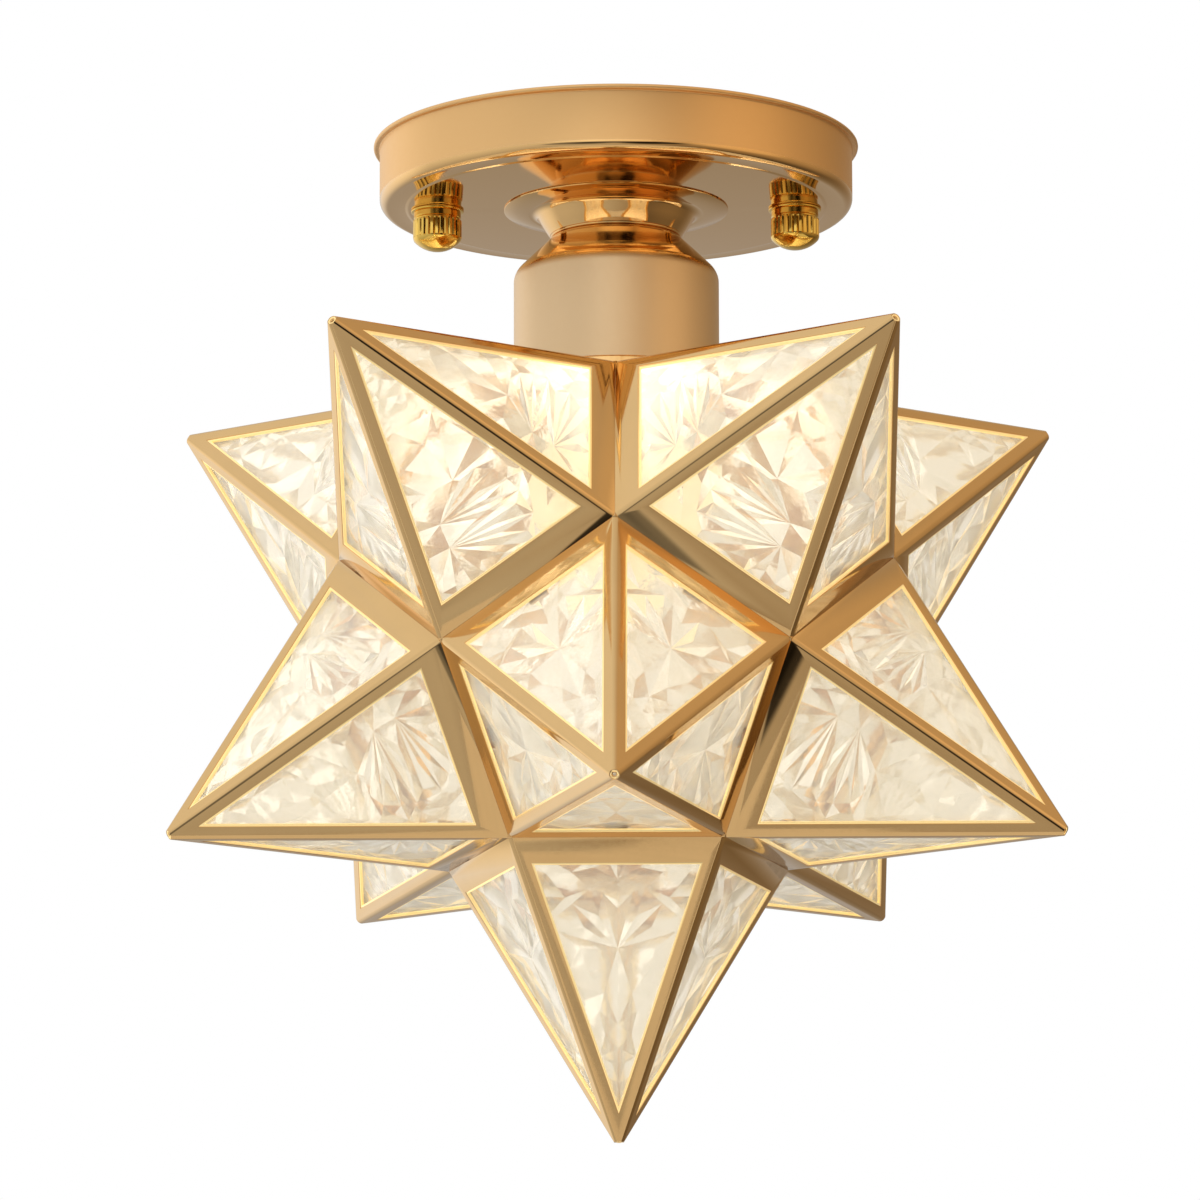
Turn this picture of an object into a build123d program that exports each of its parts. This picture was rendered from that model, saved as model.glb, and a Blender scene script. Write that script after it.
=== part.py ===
from build123d import *
from math import atan, cos, radians, sin, sqrt, tan
import os

# Star flush mount ceiling light, in millimetres.
# The origin is the centre of the ceiling plane, +Z is up, and the front of the light looks along -Y.

# Star of eleven points: a five-fold solid without its top point
star_centre_drop = 121.8
star_tip_radius = 128.0
tip_rounding = 1.8
sheet = 0.9
ridge_leg = 3.0
base_band = 6.4
ridge_rounding = 1.4

# Glass panes and the clips that hold them
glass = 2.0
pane_side_inset = 2.0
pane_base_inset = 3.2
pane_tip_width = 1.2
clip_sheet = 0.4
clip_width = 5.0
clip_reach = 3.0
clip_foot_start = 1.2

# Cage behind the valleys, and the plate that carries the star
cage_sheet = 1.0
cage_leg = 3.0
cage_rounding = 0.3
plate_sheet = 1.2
plate_edge_gap = 1.2
cup_seat_width = 1.2

# Canopy
canopy_radius = 58.2
canopy_height = 16.15
canopy_sheet = 0.8
canopy_corner = 3.2
canopy_lip_width = 1.5
canopy_lip_height = 1.3
canopy_lip_rounding = 0.59
canopy_step_inset = 6.9
canopy_step_width = 0.8
canopy_step = 0.4

# Neck and socket cup
neck_flange_radius = 27.6
neck_flange_rim = 0.35
neck_flange_slope = 1.1
neck_top_radius = 19.4
waist_radius = 15.9
waist_drop = 23.5
waist_rounding = 0.5
cup_radius = 25.2
cup_sheet = 0.8
cup_corner = 5.0

# Collar and its thumb screws
collar_wall = 1.8
collar_height = 6.5
collar_gap = 0.06
collar_rounding = 0.6
thumb_screws = 3
thumb_screw_height = 4.2
thumb_screw_radius = 1.5
thumb_screw_tip_gap = 0.1
thumb_head_radius = 3.0
thumb_head_length = 4.0
thumb_head_gap = 1.8
thumb_head_flats = 18

# Threaded nipple through canopy, neck and cup
nipple_radius = 5.0
nipple_bore = 3.8
nipple_above_floor = 8.0
nipple_passage_gap = 0.3
nipple_nut_flats = 14.0
nipple_nut_height = 3.0
nipple_washer_radius = 9.0
nipple_washer_sheet = 1.0

# Ceiling crossbar, its studs and the cap nuts
bar_end = 8.0
bar_width = 20.0
bar_sheet = 1.6
bar_rounding = 4.0
wire_hole_radius = 6.5
slot_spacing = 62.0
slot_length = 16.0
slot_width = 5.0
stud_inset = 14.2
stud_radius = 2.0
stud_passage_gap = 0.4
stud_below_canopy = 6.8
stud_nut_flats = 7.0
stud_nut_height = 3.2
cap_washer_radius = 6.5
cap_washer_sheet = 0.6
cap_nut_radius = 6.0
cap_nut_length = 9.7
cap_nut_dome = 2.8
cap_nut_rim = 1.7
cap_nut_bore_depth = 7.8
cap_nut_ribs = 30
cap_nut_groove_radius = 0.35
cap_nut_groove_offset = 0.09

# Earth screw on the crossbar
earth_offset = 14.0
earth_radius = 2.0
earth_head_radius = 3.9
earth_head_height = 2.0
earth_washer_radius = 4.4
earth_washer_sheet = 0.8

# Lampholder for an E26 lamp
holder_radius = 20.6
holder_length = 33.0
holder_floor = 5.0
holder_rounding = 1.5
holder_wire_hole = 1.6
holder_wire_offset = 6.5
base_plate_sheet = 1.2
base_plate_length = 40.4
base_plate_width = 12.0
base_plate_rounding = 4.0
base_hub_radius = 7.5
base_hub_height = 6.8
wire_window_width = 6.0
wire_window_height = 3.6
body_screw_offset = 17.4
body_screw_radius = 1.2
body_screw_head_radius = 2.2
body_screw_head_height = 1.4
body_screw_grip = 7.8
shell_bore = 13.45
shell_sheet = 0.4
shell_height = 22.0
shell_flange_bore = 10.0
contact_width = 6.0
contact_sheet = 0.4
contact_rise = 3.0
contact_foot = 9.0
contact_bend = 5.0
contact_leaf_start = 1.5
contact_leaf_end = 3.0
rivet_offset = 7.0
rivet_radius = 1.2
rivet_head_radius = 1.9
rivet_head_height = 0.8
terminal_offset = 12.5
terminal_radius = 1.75
terminal_head_radius = 3.0
terminal_head_height = 1.5
terminal_grip = 3.5

# Globe lamp with an E26 cap
globe_radius = 22.5
globe_sheet = 0.8
lamp_length = 72.0
cap_crest_radius = 13.1
cap_thread_depth = 0.8
cap_sheet = 0.35
cap_thread_pitch = 3.629
cap_threads = 5
cap_plain_length = 3.0
insulator_height = 3.4
insulator_top_radius = 7.0
insulator_base_radius = 12.0
tip_contact_radius = 4.7
tip_contact_height = 1.6
tip_contact_rounding = 0.8
lamp_neck_radius = 11.6
lamp_neck_overlap = 3.0
stem_radius = 3.2
stem_flare = 1.0
stem_length = 36.0
filament_radius = 0.9
filament_length = 24.0
filament_drop = 9.0
filaments = 4

# Clearance between a screw or stud and the hole that it is threaded into or clamped in
thread_gap = 0.05

# Measures of the five-fold solid, in the frame of one of its twelve pentagonal core faces
golden = (1 + sqrt(5)) / 2
half_valley = atan(golden)
half_tip = radians(18)
face_drop = star_tip_radius / sqrt(5)
cage_edge = star_tip_radius / sin(radians(72)) / golden**2
face_corner_radius = cage_edge / (2 * sin(radians(36)))
face_apothem = cage_edge / (2 * tan(radians(36)))
cage_mid_radius = sqrt(face_drop**2 + face_apothem**2)
point_height = star_tip_radius - face_drop
ridge_length = sqrt(point_height**2 + face_corner_radius**2)
facet_height = sqrt(point_height**2 + face_apothem**2)
facet_lean = atan(face_apothem / point_height)
ridge_lean = atan(face_corner_radius / point_height)

# Sizes that follow from the canopy and the cup
canopy_step_radius = canopy_radius - canopy_step_inset
stud_spacing = 2 * (canopy_radius - stud_inset)
bar_length = stud_spacing + 2 * bar_end
lamp_hole_radius = cup_radius - cup_seat_width

# Heights below the ceiling, and the radii that follow from them
canopy_bottom = -canopy_height
canopy_floor = canopy_bottom + canopy_sheet
waist = -waist_drop
star_centre = -star_centre_drop
star_top = star_centre + face_drop
plate_top = star_top - cage_sheet
cup_shoulder = waist - (cup_radius - waist_radius)
cup_floor = waist - cup_sheet
collar_bore = cup_radius + collar_gap
collar_radius = collar_bore + collar_wall
thumb_screw_level = plate_top + thumb_screw_height
passage_radius = nipple_radius + nipple_passage_gap
base_plate_top = cup_floor - base_hub_height
holder_top = base_plate_top - base_plate_sheet
holder_seat = holder_top - holder_floor
holder_bore = shell_bore + shell_sheet + thread_gap
contact_face = holder_seat - contact_rise
insulator_top = contact_face - tip_contact_height
cap_top = insulator_top - insulator_height
cap_root_radius = cap_crest_radius - cap_thread_depth
cap_bottom = cap_top - cap_threads * cap_thread_pitch - cap_plain_length
globe_centre = contact_face - lamp_length + globe_radius
glass_top = cap_bottom + lamp_neck_overlap

os.makedirs("parts", exist_ok=True)


def save(piece, name):
    piece.label = name
    export_step(piece, f"parts/{name}.step")


# A disc or ring between two heights, with a bore where one is given
def ring(radius, bore, low, high):
    with BuildPart() as disc:
        with BuildSketch(Plane.XY.offset(low)):
            Circle(radius)
            if bore:
                Circle(bore, mode=Mode.SUBTRACT)
        extrude(amount=high - low)
    return disc.part


# A screw on the axis: a head that ends at its seat, and a shank that runs on past it
def screw(seat, toward, head_radius, head_height, radius, grip):
    with BuildPart() as body:
        with BuildSketch(Plane.XY.offset(seat)):
            Circle(head_radius)
        extrude(amount=-toward * head_height)
        with BuildSketch(Plane.XY.offset(seat)):
            Circle(radius)
        extrude(amount=toward * grip)
    return body.part


# A hexagon nut between two heights
def hexagon_nut(flats, bore, low, high):
    with BuildPart() as nut:
        with BuildSketch(Plane.XY.offset(low)):
            RegularPolygon(radius=flats / 2, side_count=6, major_radius=False)
            Circle(bore, mode=Mode.SUBTRACT)
        extrude(amount=high - low)
    return nut.part


# The same piece at several places, as separate solids
def copies(piece, places):
    with BuildPart() as several:
        with Locations(*places):
            add(piece)
    return several.part


# Angle section with two legs at the valley angle, its outer corner at the plane's origin
def angle_section(plane, leg, thickness, rounding):
    along = Vector(-cos(half_valley), sin(half_valley))
    inward = Vector(-sin(half_valley), -cos(half_valley))
    start = along * (rounding / tan(half_valley))
    outer_end = along * leg
    inner_end = outer_end + inward * thickness
    with BuildSketch(plane) as section:
        with BuildLine():
            ThreePointArc((start.X, -start.Y), (rounding - rounding / sin(half_valley), 0), start)
            Polyline(
                start,
                outer_end,
                inner_end,
                (-thickness / sin(half_valley), 0),
                (inner_end.X, -inner_end.Y),
                (outer_end.X, -outer_end.Y),
                (start.X, -start.Y),
            )
        make_face()
    return section.sketch


# Crossbar: slots for the ceiling box's screws, holes for the studs, the earth screw and the wires
with BuildPart() as crossbar:
    with BuildSketch(Plane.XY.offset(-bar_sheet)):
        RectangleRounded(bar_length, bar_width, bar_rounding)
        Circle(wire_hole_radius, mode=Mode.SUBTRACT)
        with GridLocations(slot_spacing, 0, 2, 1):
            SlotOverall(slot_length, slot_width, mode=Mode.SUBTRACT)
        with GridLocations(stud_spacing, 0, 2, 1):
            Circle(stud_radius + thread_gap, mode=Mode.SUBTRACT)
        with Locations((earth_offset, 0)):
            Circle(earth_radius + thread_gap, mode=Mode.SUBTRACT)
    extrude(amount=bar_sheet)
save(crossbar.part, "crossbar")

stud_places = [(-stud_spacing / 2, 0, 0), (stud_spacing / 2, 0, 0)]
stud = ring(stud_radius, 0, canopy_bottom - stud_below_canopy, 0)
save(copies(stud, stud_places), "canopy_studs")

stud_nut = hexagon_nut(stud_nut_flats, stud_radius + thread_gap, -bar_sheet - stud_nut_height, -bar_sheet)
save(copies(stud_nut, stud_places), "stud_lock_nuts")

earth_seat = -bar_sheet - earth_washer_sheet
earth_washer = ring(earth_washer_radius, earth_radius + thread_gap, earth_seat, -bar_sheet)
save(copies(earth_washer, [(earth_offset, 0, 0)]), "earth_washer")

earth_grip = bar_sheet + earth_washer_sheet
earth_screw = screw(earth_seat, 1, earth_head_radius, earth_head_height, earth_radius, earth_grip)
save(copies(earth_screw, [(earth_offset, 0, 0)]), "earth_screw")

# Canopy: a spun pan with a rounded lower corner, a pressed step and a rolled lip at the ceiling
step_top = canopy_bottom + canopy_step
with BuildPart() as canopy:
    with BuildSketch(Plane.XZ):
        with BuildLine():
            Polyline(
                (0, canopy_bottom),
                (canopy_step_radius, canopy_bottom),
                (canopy_step_radius + canopy_step_width, step_top),
                (canopy_radius, step_top),
                (canopy_radius, 0),
                (0, 0),
                close=True,
            )
        make_face()
    revolve(axis=Axis.Z)
    step_edges = canopy.edges().filter_by_position(Axis.Z, step_top, step_top)
    fillet(step_edges.sort_by(SortBy.RADIUS)[-1], canopy_corner)
    offset(amount=-canopy_sheet, openings=canopy.faces().sort_by(Axis.Z)[-1])
    with BuildSketch(Plane.XY.offset(-canopy_lip_height)):
        Circle(canopy_radius + canopy_lip_width)
        Circle(canopy_radius - canopy_sheet, mode=Mode.SUBTRACT)
    extrude(amount=canopy_lip_height)
    lip_edges = canopy.edges().filter_by(GeomType.CIRCLE).sort_by(SortBy.RADIUS)[-2:]
    fillet(lip_edges, canopy_lip_rounding)
    with BuildSketch(Plane.XY.offset(canopy_bottom)):
        Circle(passage_radius)
        with GridLocations(stud_spacing, 0, 2, 1):
            Circle(stud_radius + stud_passage_gap)
    extrude(amount=canopy_sheet, mode=Mode.SUBTRACT)
save(canopy.part, "canopy")

# Neck: a turned piece with a shallow flange against the canopy and a cone down to the waist
flange_rim = canopy_bottom - neck_flange_rim
flange_root = flange_rim - neck_flange_slope
with BuildPart() as neck:
    with BuildSketch(Plane.XZ):
        with BuildLine():
            Polyline(
                (passage_radius, canopy_bottom),
                (neck_flange_radius, canopy_bottom),
                (neck_flange_radius, flange_rim),
                (neck_top_radius, flange_root),
                (waist_radius, waist),
                (passage_radius, waist),
                close=True,
            )
        make_face()
    revolve(axis=Axis.Z)
    fillet(neck.edges().group_by(Axis.Z)[0].sort_by(SortBy.RADIUS)[-1], waist_rounding)
save(neck.part, "neck")

# Socket cup: a flared shoulder over a straight skirt
with BuildPart() as cup:
    with BuildSketch(Plane.XZ):
        with BuildLine():
            Polyline(
                (0, waist),
                (waist_radius, waist),
                (cup_radius, cup_shoulder),
                (cup_radius, plate_top),
                (0, plate_top),
                close=True,
            )
        make_face()
    revolve(axis=Axis.Z)
    fillet(cup.edges().filter_by_position(Axis.Z, cup_shoulder, cup_shoulder), cup_corner)
    offset(amount=-cup_sheet, openings=cup.faces().sort_by(Axis.Z)[0])
    fillet(cup.edges().group_by(Axis.Z)[-1], waist_rounding)
    with Locations((0, 0, waist)):
        Hole(passage_radius)
save(cup.part, "socket_cup")

nipple_top = canopy_floor + nipple_above_floor
nipple_bottom = base_plate_top + wire_window_height
save(ring(nipple_radius, nipple_bore, nipple_bottom, nipple_top), "threaded_nipple")

washer_top = canopy_floor + nipple_washer_sheet
save(ring(nipple_washer_radius, passage_radius, canopy_floor, washer_top), "nipple_washer")

nipple_nut_top = washer_top + nipple_nut_height
nipple_nut = hexagon_nut(nipple_nut_flats, nipple_radius + thread_gap, washer_top, nipple_nut_top)
save(nipple_nut, "nipple_nut")

# Lampholder's base: a strap with a threaded hub for the nipple, and windows that let the wires out of it
with BuildPart() as holder_base:
    with BuildSketch(Plane.XY.offset(holder_top)):
        RectangleRounded(base_plate_length, base_plate_width, base_plate_rounding)
        with GridLocations(2 * body_screw_offset, 0, 2, 1):
            Circle(body_screw_radius + thread_gap, mode=Mode.SUBTRACT)
    extrude(amount=base_plate_sheet)
    with BuildSketch(Plane.XY.offset(base_plate_top)):
        Circle(base_hub_radius)
        Circle(nipple_radius + thread_gap, mode=Mode.SUBTRACT)
    extrude(amount=base_hub_height)
    with BuildSketch(Plane.XY.offset(base_plate_top)):
        Rectangle(wire_window_width, 2 * base_hub_radius)
    extrude(amount=wire_window_height, mode=Mode.SUBTRACT)
save(holder_base.part, "holder_base")

# Porcelain body: a thick cylinder with the screw shell's bore and holes for screws, rivet and wires
with BuildPart() as porcelain:
    with BuildSketch(Plane.XY.offset(holder_top - holder_length)):
        Circle(holder_radius)
    extrude(amount=holder_length)
    fillet(porcelain.edges().group_by(Axis.Z)[0], holder_rounding)
    with BuildSketch(Plane.XY.offset(holder_top - holder_length)):
        Circle(holder_bore)
    extrude(amount=holder_length - holder_floor, mode=Mode.SUBTRACT)
    with BuildSketch(Plane.XY.offset(holder_top)):
        with GridLocations(2 * body_screw_offset, 0, 2, 1):
            Circle(body_screw_radius + thread_gap)
    extrude(amount=-body_screw_grip, mode=Mode.SUBTRACT)
    with BuildSketch(Plane.XY.offset(holder_top)):
        with GridLocations(0, 2 * terminal_offset, 1, 2):
            Circle(terminal_radius + thread_gap)
    extrude(amount=-terminal_grip, mode=Mode.SUBTRACT)
    with BuildSketch(Plane.XY.offset(holder_top)):
        with GridLocations(0, 2 * holder_wire_offset, 1, 2):
            Circle(holder_wire_hole)
        with Locations((-rivet_offset, 0)):
            Circle(rivet_radius + thread_gap)
    extrude(amount=-holder_floor, mode=Mode.SUBTRACT)
save(porcelain.part, "porcelain_body")

body_screw = screw(
    base_plate_top, -1, body_screw_head_radius, body_screw_head_height,
    body_screw_radius, base_plate_sheet + body_screw_grip,
)
save(copies(body_screw, [(-body_screw_offset, 0, 0), (body_screw_offset, 0, 0)]), "body_screws")

terminal = screw(
    holder_top, -1, terminal_head_radius, terminal_head_height, terminal_radius, terminal_grip
)
save(copies(terminal, [(0, -terminal_offset, 0), (0, terminal_offset, 0)]), "terminal_screws")

# Screw shell of the holder: a brass sleeve with a flange against the porcelain
with BuildPart() as screw_shell:
    with BuildSketch(Plane.XY.offset(holder_seat - shell_height)):
        Circle(shell_bore + shell_sheet)
        Circle(shell_bore, mode=Mode.SUBTRACT)
    extrude(amount=shell_height)
    with BuildSketch(Plane.XY.offset(holder_seat - shell_sheet)):
        Circle(shell_bore + shell_sheet)
        Circle(shell_flange_bore, mode=Mode.SUBTRACT)
    extrude(amount=shell_sheet)
save(screw_shell.part, "holder_screw_shell")

# Centre contact: a bent leaf that presses on the lamp's tip
leaf_top = contact_face + contact_sheet
with BuildPart() as centre_contact:
    with BuildSketch(Plane.XZ):
        with BuildLine():
            Polyline(
                (-contact_foot, holder_seat),
                (-contact_bend, holder_seat),
                (-contact_leaf_start, leaf_top),
                (contact_leaf_end, leaf_top),
                (contact_leaf_end, contact_face),
                (-contact_leaf_start, contact_face),
                (-contact_bend, holder_seat - contact_sheet),
                (-contact_foot, holder_seat - contact_sheet),
                close=True,
            )
        make_face()
    extrude(amount=contact_width / 2, both=True)
    with BuildSketch(Plane.XY.offset(holder_seat)):
        with Locations((-rivet_offset, 0)):
            Circle(rivet_radius + thread_gap)
    extrude(amount=-contact_sheet, mode=Mode.SUBTRACT)
save(centre_contact.part, "centre_contact")

rivet = screw(
    holder_seat - contact_sheet, 1, rivet_head_radius, rivet_head_height,
    rivet_radius, contact_sheet + holder_floor,
)
save(copies(rivet, [(-rivet_offset, 0, 0)]), "contact_rivet")

# Cap nut and its washer, under each stud
nut_top = canopy_bottom - cap_washer_sheet
nut_bottom = nut_top - cap_nut_length
washer = ring(cap_washer_radius, stud_radius + stud_passage_gap, nut_top, canopy_bottom)

with BuildPart() as cap_nut:
    with BuildSketch(Plane.XZ):
        with BuildLine():
            Line((0, nut_bottom), (0, nut_top))
            Line((0, nut_top), (cap_nut_radius, nut_top))
            Line((cap_nut_radius, nut_top), (cap_nut_radius, nut_bottom + cap_nut_dome))
            RadiusArc(
                (cap_nut_radius, nut_bottom + cap_nut_dome),
                (0, nut_bottom),
                (cap_nut_radius**2 + cap_nut_dome**2) / (2 * cap_nut_dome),
            )
        make_face()
    revolve(axis=Axis.Z)
    with BuildSketch(Plane.XY.offset(nut_bottom + cap_nut_dome / 2)):
        with PolarLocations(cap_nut_radius + cap_nut_groove_offset, cap_nut_ribs):
            Circle(cap_nut_groove_radius)
    extrude(amount=cap_nut_length - cap_nut_rim - cap_nut_dome / 2, mode=Mode.SUBTRACT)
    with BuildSketch(Plane.XY.offset(nut_top)):
        Circle(stud_radius + thread_gap)
    extrude(amount=-cap_nut_bore_depth, mode=Mode.SUBTRACT)

for side, place in zip(("left", "right"), stud_places):
    save(copies(washer, [place]), f"cap_washer_{side}")
    save(copies(cap_nut.part, [place]), f"cap_nut_{side}")

# Lamp: tip contact, insulator, screw cap, glass globe, stem and filaments
with BuildPart() as tip_contact:
    add(ring(tip_contact_radius, 0, insulator_top, contact_face))
    fillet(tip_contact.edges().group_by(Axis.Z)[-1], tip_contact_rounding)
save(tip_contact.part, "lamp_tip_contact")

with BuildPart() as insulator:
    with BuildSketch(Plane.XY.offset(cap_top)):
        Circle(insulator_base_radius)
    with BuildSketch(Plane.XY.offset(insulator_top)):
        Circle(insulator_top_radius)
    loft()
save(insulator.part, "lamp_insulator")

# The cap's thread is drawn as rings, one for each turn
crest_rise = cap_thread_depth / 2
with BuildPart() as lamp_cap:
    with BuildSketch(Plane.XZ):
        with BuildLine():
            wave = [(cap_root_radius, cap_top)]
            for turn in range(cap_threads):
                turn_top = cap_top - turn * cap_thread_pitch
                wave.append((cap_root_radius + crest_rise, turn_top - cap_thread_pitch / 4))
                wave.append((cap_crest_radius, turn_top - cap_thread_pitch / 2))
                wave.append((cap_root_radius + crest_rise, turn_top - cap_thread_pitch * 3 / 4))
                wave.append((cap_root_radius, turn_top - cap_thread_pitch))
            Spline(*wave)
            Polyline(
                wave[-1],
                (cap_root_radius, cap_bottom),
                (cap_root_radius - cap_sheet, cap_bottom),
                (cap_root_radius - cap_sheet, cap_top),
                wave[0],
            )
        make_face()
    revolve(axis=Axis.Z)
save(lamp_cap.part, "lamp_screw_cap")

# The globe is a sphere that opens into a neck inside the cap
with BuildPart() as globe:
    with Locations((0, 0, globe_centre)):
        Sphere(globe_radius)
    with BuildSketch(Plane.XY.offset(globe_centre)):
        Circle(lamp_neck_radius)
    extrude(amount=glass_top - globe_centre)
    with Locations((0, 0, globe_centre)):
        Sphere(globe_radius - globe_sheet, mode=Mode.SUBTRACT)
    with BuildSketch(Plane.XY.offset(globe_centre)):
        Circle(lamp_neck_radius - globe_sheet)
    extrude(amount=glass_top - globe_centre, mode=Mode.SUBTRACT)
save(globe.part, "lamp_globe")

stem_disc_radius = lamp_neck_radius - globe_sheet - thread_gap
with BuildPart() as stem:
    add(ring(stem_disc_radius, 0, glass_top - stem_flare, glass_top))
    add(ring(stem_radius, 0, glass_top - stem_length, glass_top - stem_flare))
save(stem.part, "lamp_stem")

filament_top = glass_top - filament_drop
filament = ring(filament_radius, 0, filament_top - filament_length, filament_top)
filament_circle = stem_radius + filament_radius + thread_gap
with BuildPart() as lamp_filaments:
    with PolarLocations(filament_circle, filaments):
        add(filament)
save(lamp_filaments.part, "lamp_filaments")

# Collar on the top plate: it takes the cup's skirt, and the thumb screws go through it
screw_azimuths = [90 + 360 * turn / thumb_screws for turn in range(thumb_screws)]


def screw_plane(azimuth, radius):
    outward = Vector(cos(radians(azimuth)), sin(radians(azimuth)), 0)
    return Plane(origin=outward * radius + Vector(0, 0, thumb_screw_level), z_dir=outward)


with BuildPart() as collar:
    add(ring(collar_radius, collar_bore, plate_top, plate_top + collar_height))
    fillet(collar.edges().group_by(Axis.Z)[-1].sort_by(SortBy.RADIUS)[-1], collar_rounding)
    for azimuth in screw_azimuths:
        with BuildSketch(screw_plane(azimuth, cup_radius)):
            Circle(thumb_screw_radius + thread_gap)
        extrude(amount=collar_radius, mode=Mode.SUBTRACT)
save(collar.part, "shade_collar")

head_start = collar_radius + thumb_head_gap
for name, azimuth in zip(("back", "left", "right"), screw_azimuths):
    with BuildPart() as thumb_screw:
        with BuildSketch(screw_plane(azimuth, cup_radius + thumb_screw_tip_gap)):
            Circle(thumb_screw_radius)
        extrude(amount=head_start - cup_radius - thumb_screw_tip_gap)
        with BuildSketch(screw_plane(azimuth, head_start)):
            RegularPolygon(radius=thumb_head_radius, side_count=thumb_head_flats)
        extrude(amount=thumb_head_length)
    save(thumb_screw.part, f"thumb_screw_{name}")

# Top plate: a pentagon under the cage's top legs, with the hole that the lamp passes
with BuildPart() as top_plate:
    with BuildSketch(Plane.XY.offset(plate_top - plate_sheet)):
        RegularPolygon(radius=face_apothem - plate_edge_gap, side_count=5, major_radius=False, rotation=-90)
        Circle(lamp_hole_radius, mode=Mode.SUBTRACT)
    extrude(amount=plate_sheet)
save(top_plate.part, "top_plate")

# One strip of the cage lies along an edge of the core and is mitred to its neighbours
# on the planes through the core's centre, the strip's end and the middle of each face beside it
half_edge_normal = atan(1 / golden)
strip_run = cage_edge + 2 * cage_leg
with BuildPart() as strip:
    strip_plane = Plane(origin=(cage_mid_radius, 0, -strip_run / 2), x_dir=(1, 0, 0), z_dir=(0, 0, 1))
    add(angle_section(strip_plane, cage_leg, cage_sheet, cage_rounding))
    extrude(amount=strip_run, dir=strip_plane.z_dir)
    for end in (-1, 1):
        for flank in (-1, 1):
            corner = Vector(cage_mid_radius, 0, end * cage_edge / 2)
            face_middle = Vector(cos(half_edge_normal), flank * sin(half_edge_normal), 0) * face_drop
            mitre = Plane(origin=(0, 0, 0), z_dir=corner.cross(face_middle) * (-end * flank))
            split(bisect_by=mitre, keep=Keep.TOP)


# Directions of the core's faces: names for the points, and the top face where the cup enters
def face_direction(azimuth, height):
    spread = sqrt(1 - height**2)
    return Vector(spread * sin(radians(azimuth)), -spread * cos(radians(azimuth)), height)


low = -1 / sqrt(5)
high = 1 / sqrt(5)
points = {
    "bottom": face_direction(0, -1),
    "low_front": face_direction(0, low),
    "low_right": face_direction(72, low),
    "low_back_right": face_direction(144, low),
    "low_back_left": face_direction(-144, low),
    "low_left": face_direction(-72, low),
    "high_front_right": face_direction(36, high),
    "high_right": face_direction(108, high),
    "high_back": face_direction(180, high),
    "high_left": face_direction(-108, high),
    "high_front_left": face_direction(-36, high),
}
faces = list(points.values()) + [Vector(0, 0, 1)]
centre = Vector(0, 0, star_centre)

strips = []
for number, face in enumerate(faces):
    for other in faces[number + 1 :]:
        if face.get_angle(other) < 90:
            place = Plane(origin=centre, x_dir=face + other, z_dir=face.cross(other))
            strips.append(strip.part.moved(place.location))
save(Compound(children=strips), "valley_cage")

# One point in its own frame: its core face on the XY plane, its tip up, a corner of the face on +X.
# The five facets stand at 36 degrees and every 72 degrees on.
fifth = 72
facet_azimuth = radians(fifth / 2)
facet_outward = Vector(
    cos(facet_azimuth) * cos(facet_lean), sin(facet_azimuth) * cos(facet_lean), sin(facet_lean)
)
facet_along = Vector(-sin(facet_azimuth), cos(facet_azimuth), 0)
facet_foot = Vector(cos(facet_azimuth), sin(facet_azimuth), 0) * face_apothem


# Plane of the first facet, at a depth below its outer face: X runs along the base, Y towards the tip
def facet_plane(depth):
    return Plane(origin=facet_foot - facet_outward * depth, x_dir=facet_along, z_dir=facet_outward)


# Half of a facet's width at a height above its base, less an inset from each ridge
def half_width(height, inset):
    return cage_edge / 2 - inset / cos(half_tip) - height * tan(half_tip)


def facet_outline(plane, bottom, top, inset):
    with BuildSketch(plane) as outline:
        with BuildLine():
            Polyline(
                (-half_width(bottom, inset), bottom),
                (half_width(bottom, inset), bottom),
                (half_width(top, inset), top),
                (-half_width(top, inset), top),
                close=True,
            )
        make_face()
    return outline.sketch


# Tool that rounds the tip: a cone through the ridges that ends in a ball and starts below the base
ball_centre = point_height - tip_rounding / sin(ridge_lean)
ball_edge = (tip_rounding * cos(ridge_lean), ball_centre + tip_rounding * sin(ridge_lean))
tool_start = -1
tool_foot = (ball_edge[0] + (ball_edge[1] - tool_start) * tan(ridge_lean), tool_start)
ball_middle = (ridge_lean + radians(90)) / 2
with BuildPart() as tip_tool:
    with BuildSketch(Plane.XZ):
        with BuildLine():
            Polyline((0, ball_centre + tip_rounding), (0, tool_start), tool_foot, ball_edge)
            ThreePointArc(
                ball_edge,
                (tip_rounding * cos(ball_middle), ball_centre + tip_rounding * sin(ball_middle)),
                (0, ball_centre + tip_rounding),
            )
        make_face()
    revolve(axis=Axis.Z)

ridge_down = Vector(sin(ridge_lean), 0, -cos(ridge_lean))
ridge_out = Vector(cos(ridge_lean), 0, sin(ridge_lean))
with BuildPart() as ridge_bar:
    ridge_plane = Plane(origin=(0, 0, point_height), x_dir=ridge_out, z_dir=ridge_down)
    add(angle_section(ridge_plane, ridge_leg, sheet, ridge_rounding))
    extrude(amount=ridge_length + 2 * ridge_leg, dir=ridge_down)
    for flank in (-1, 1):
        sideways = Vector(sin(facet_azimuth), flank * cos(facet_azimuth), 0)
        split(bisect_by=Plane(origin=(0, 0, 0), z_dir=sideways), keep=Keep.TOP)
    split(bisect_by=Plane.XY, keep=Keep.TOP)
    add(tip_tool.part, mode=Mode.INTERSECT)

with BuildPart() as base_strip:
    add(facet_outline(facet_plane(0), 0, base_band, ridge_leg))
    extrude(amount=sheet, dir=-facet_outward)
    split(bisect_by=Plane.XY, keep=Keep.TOP)

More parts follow.
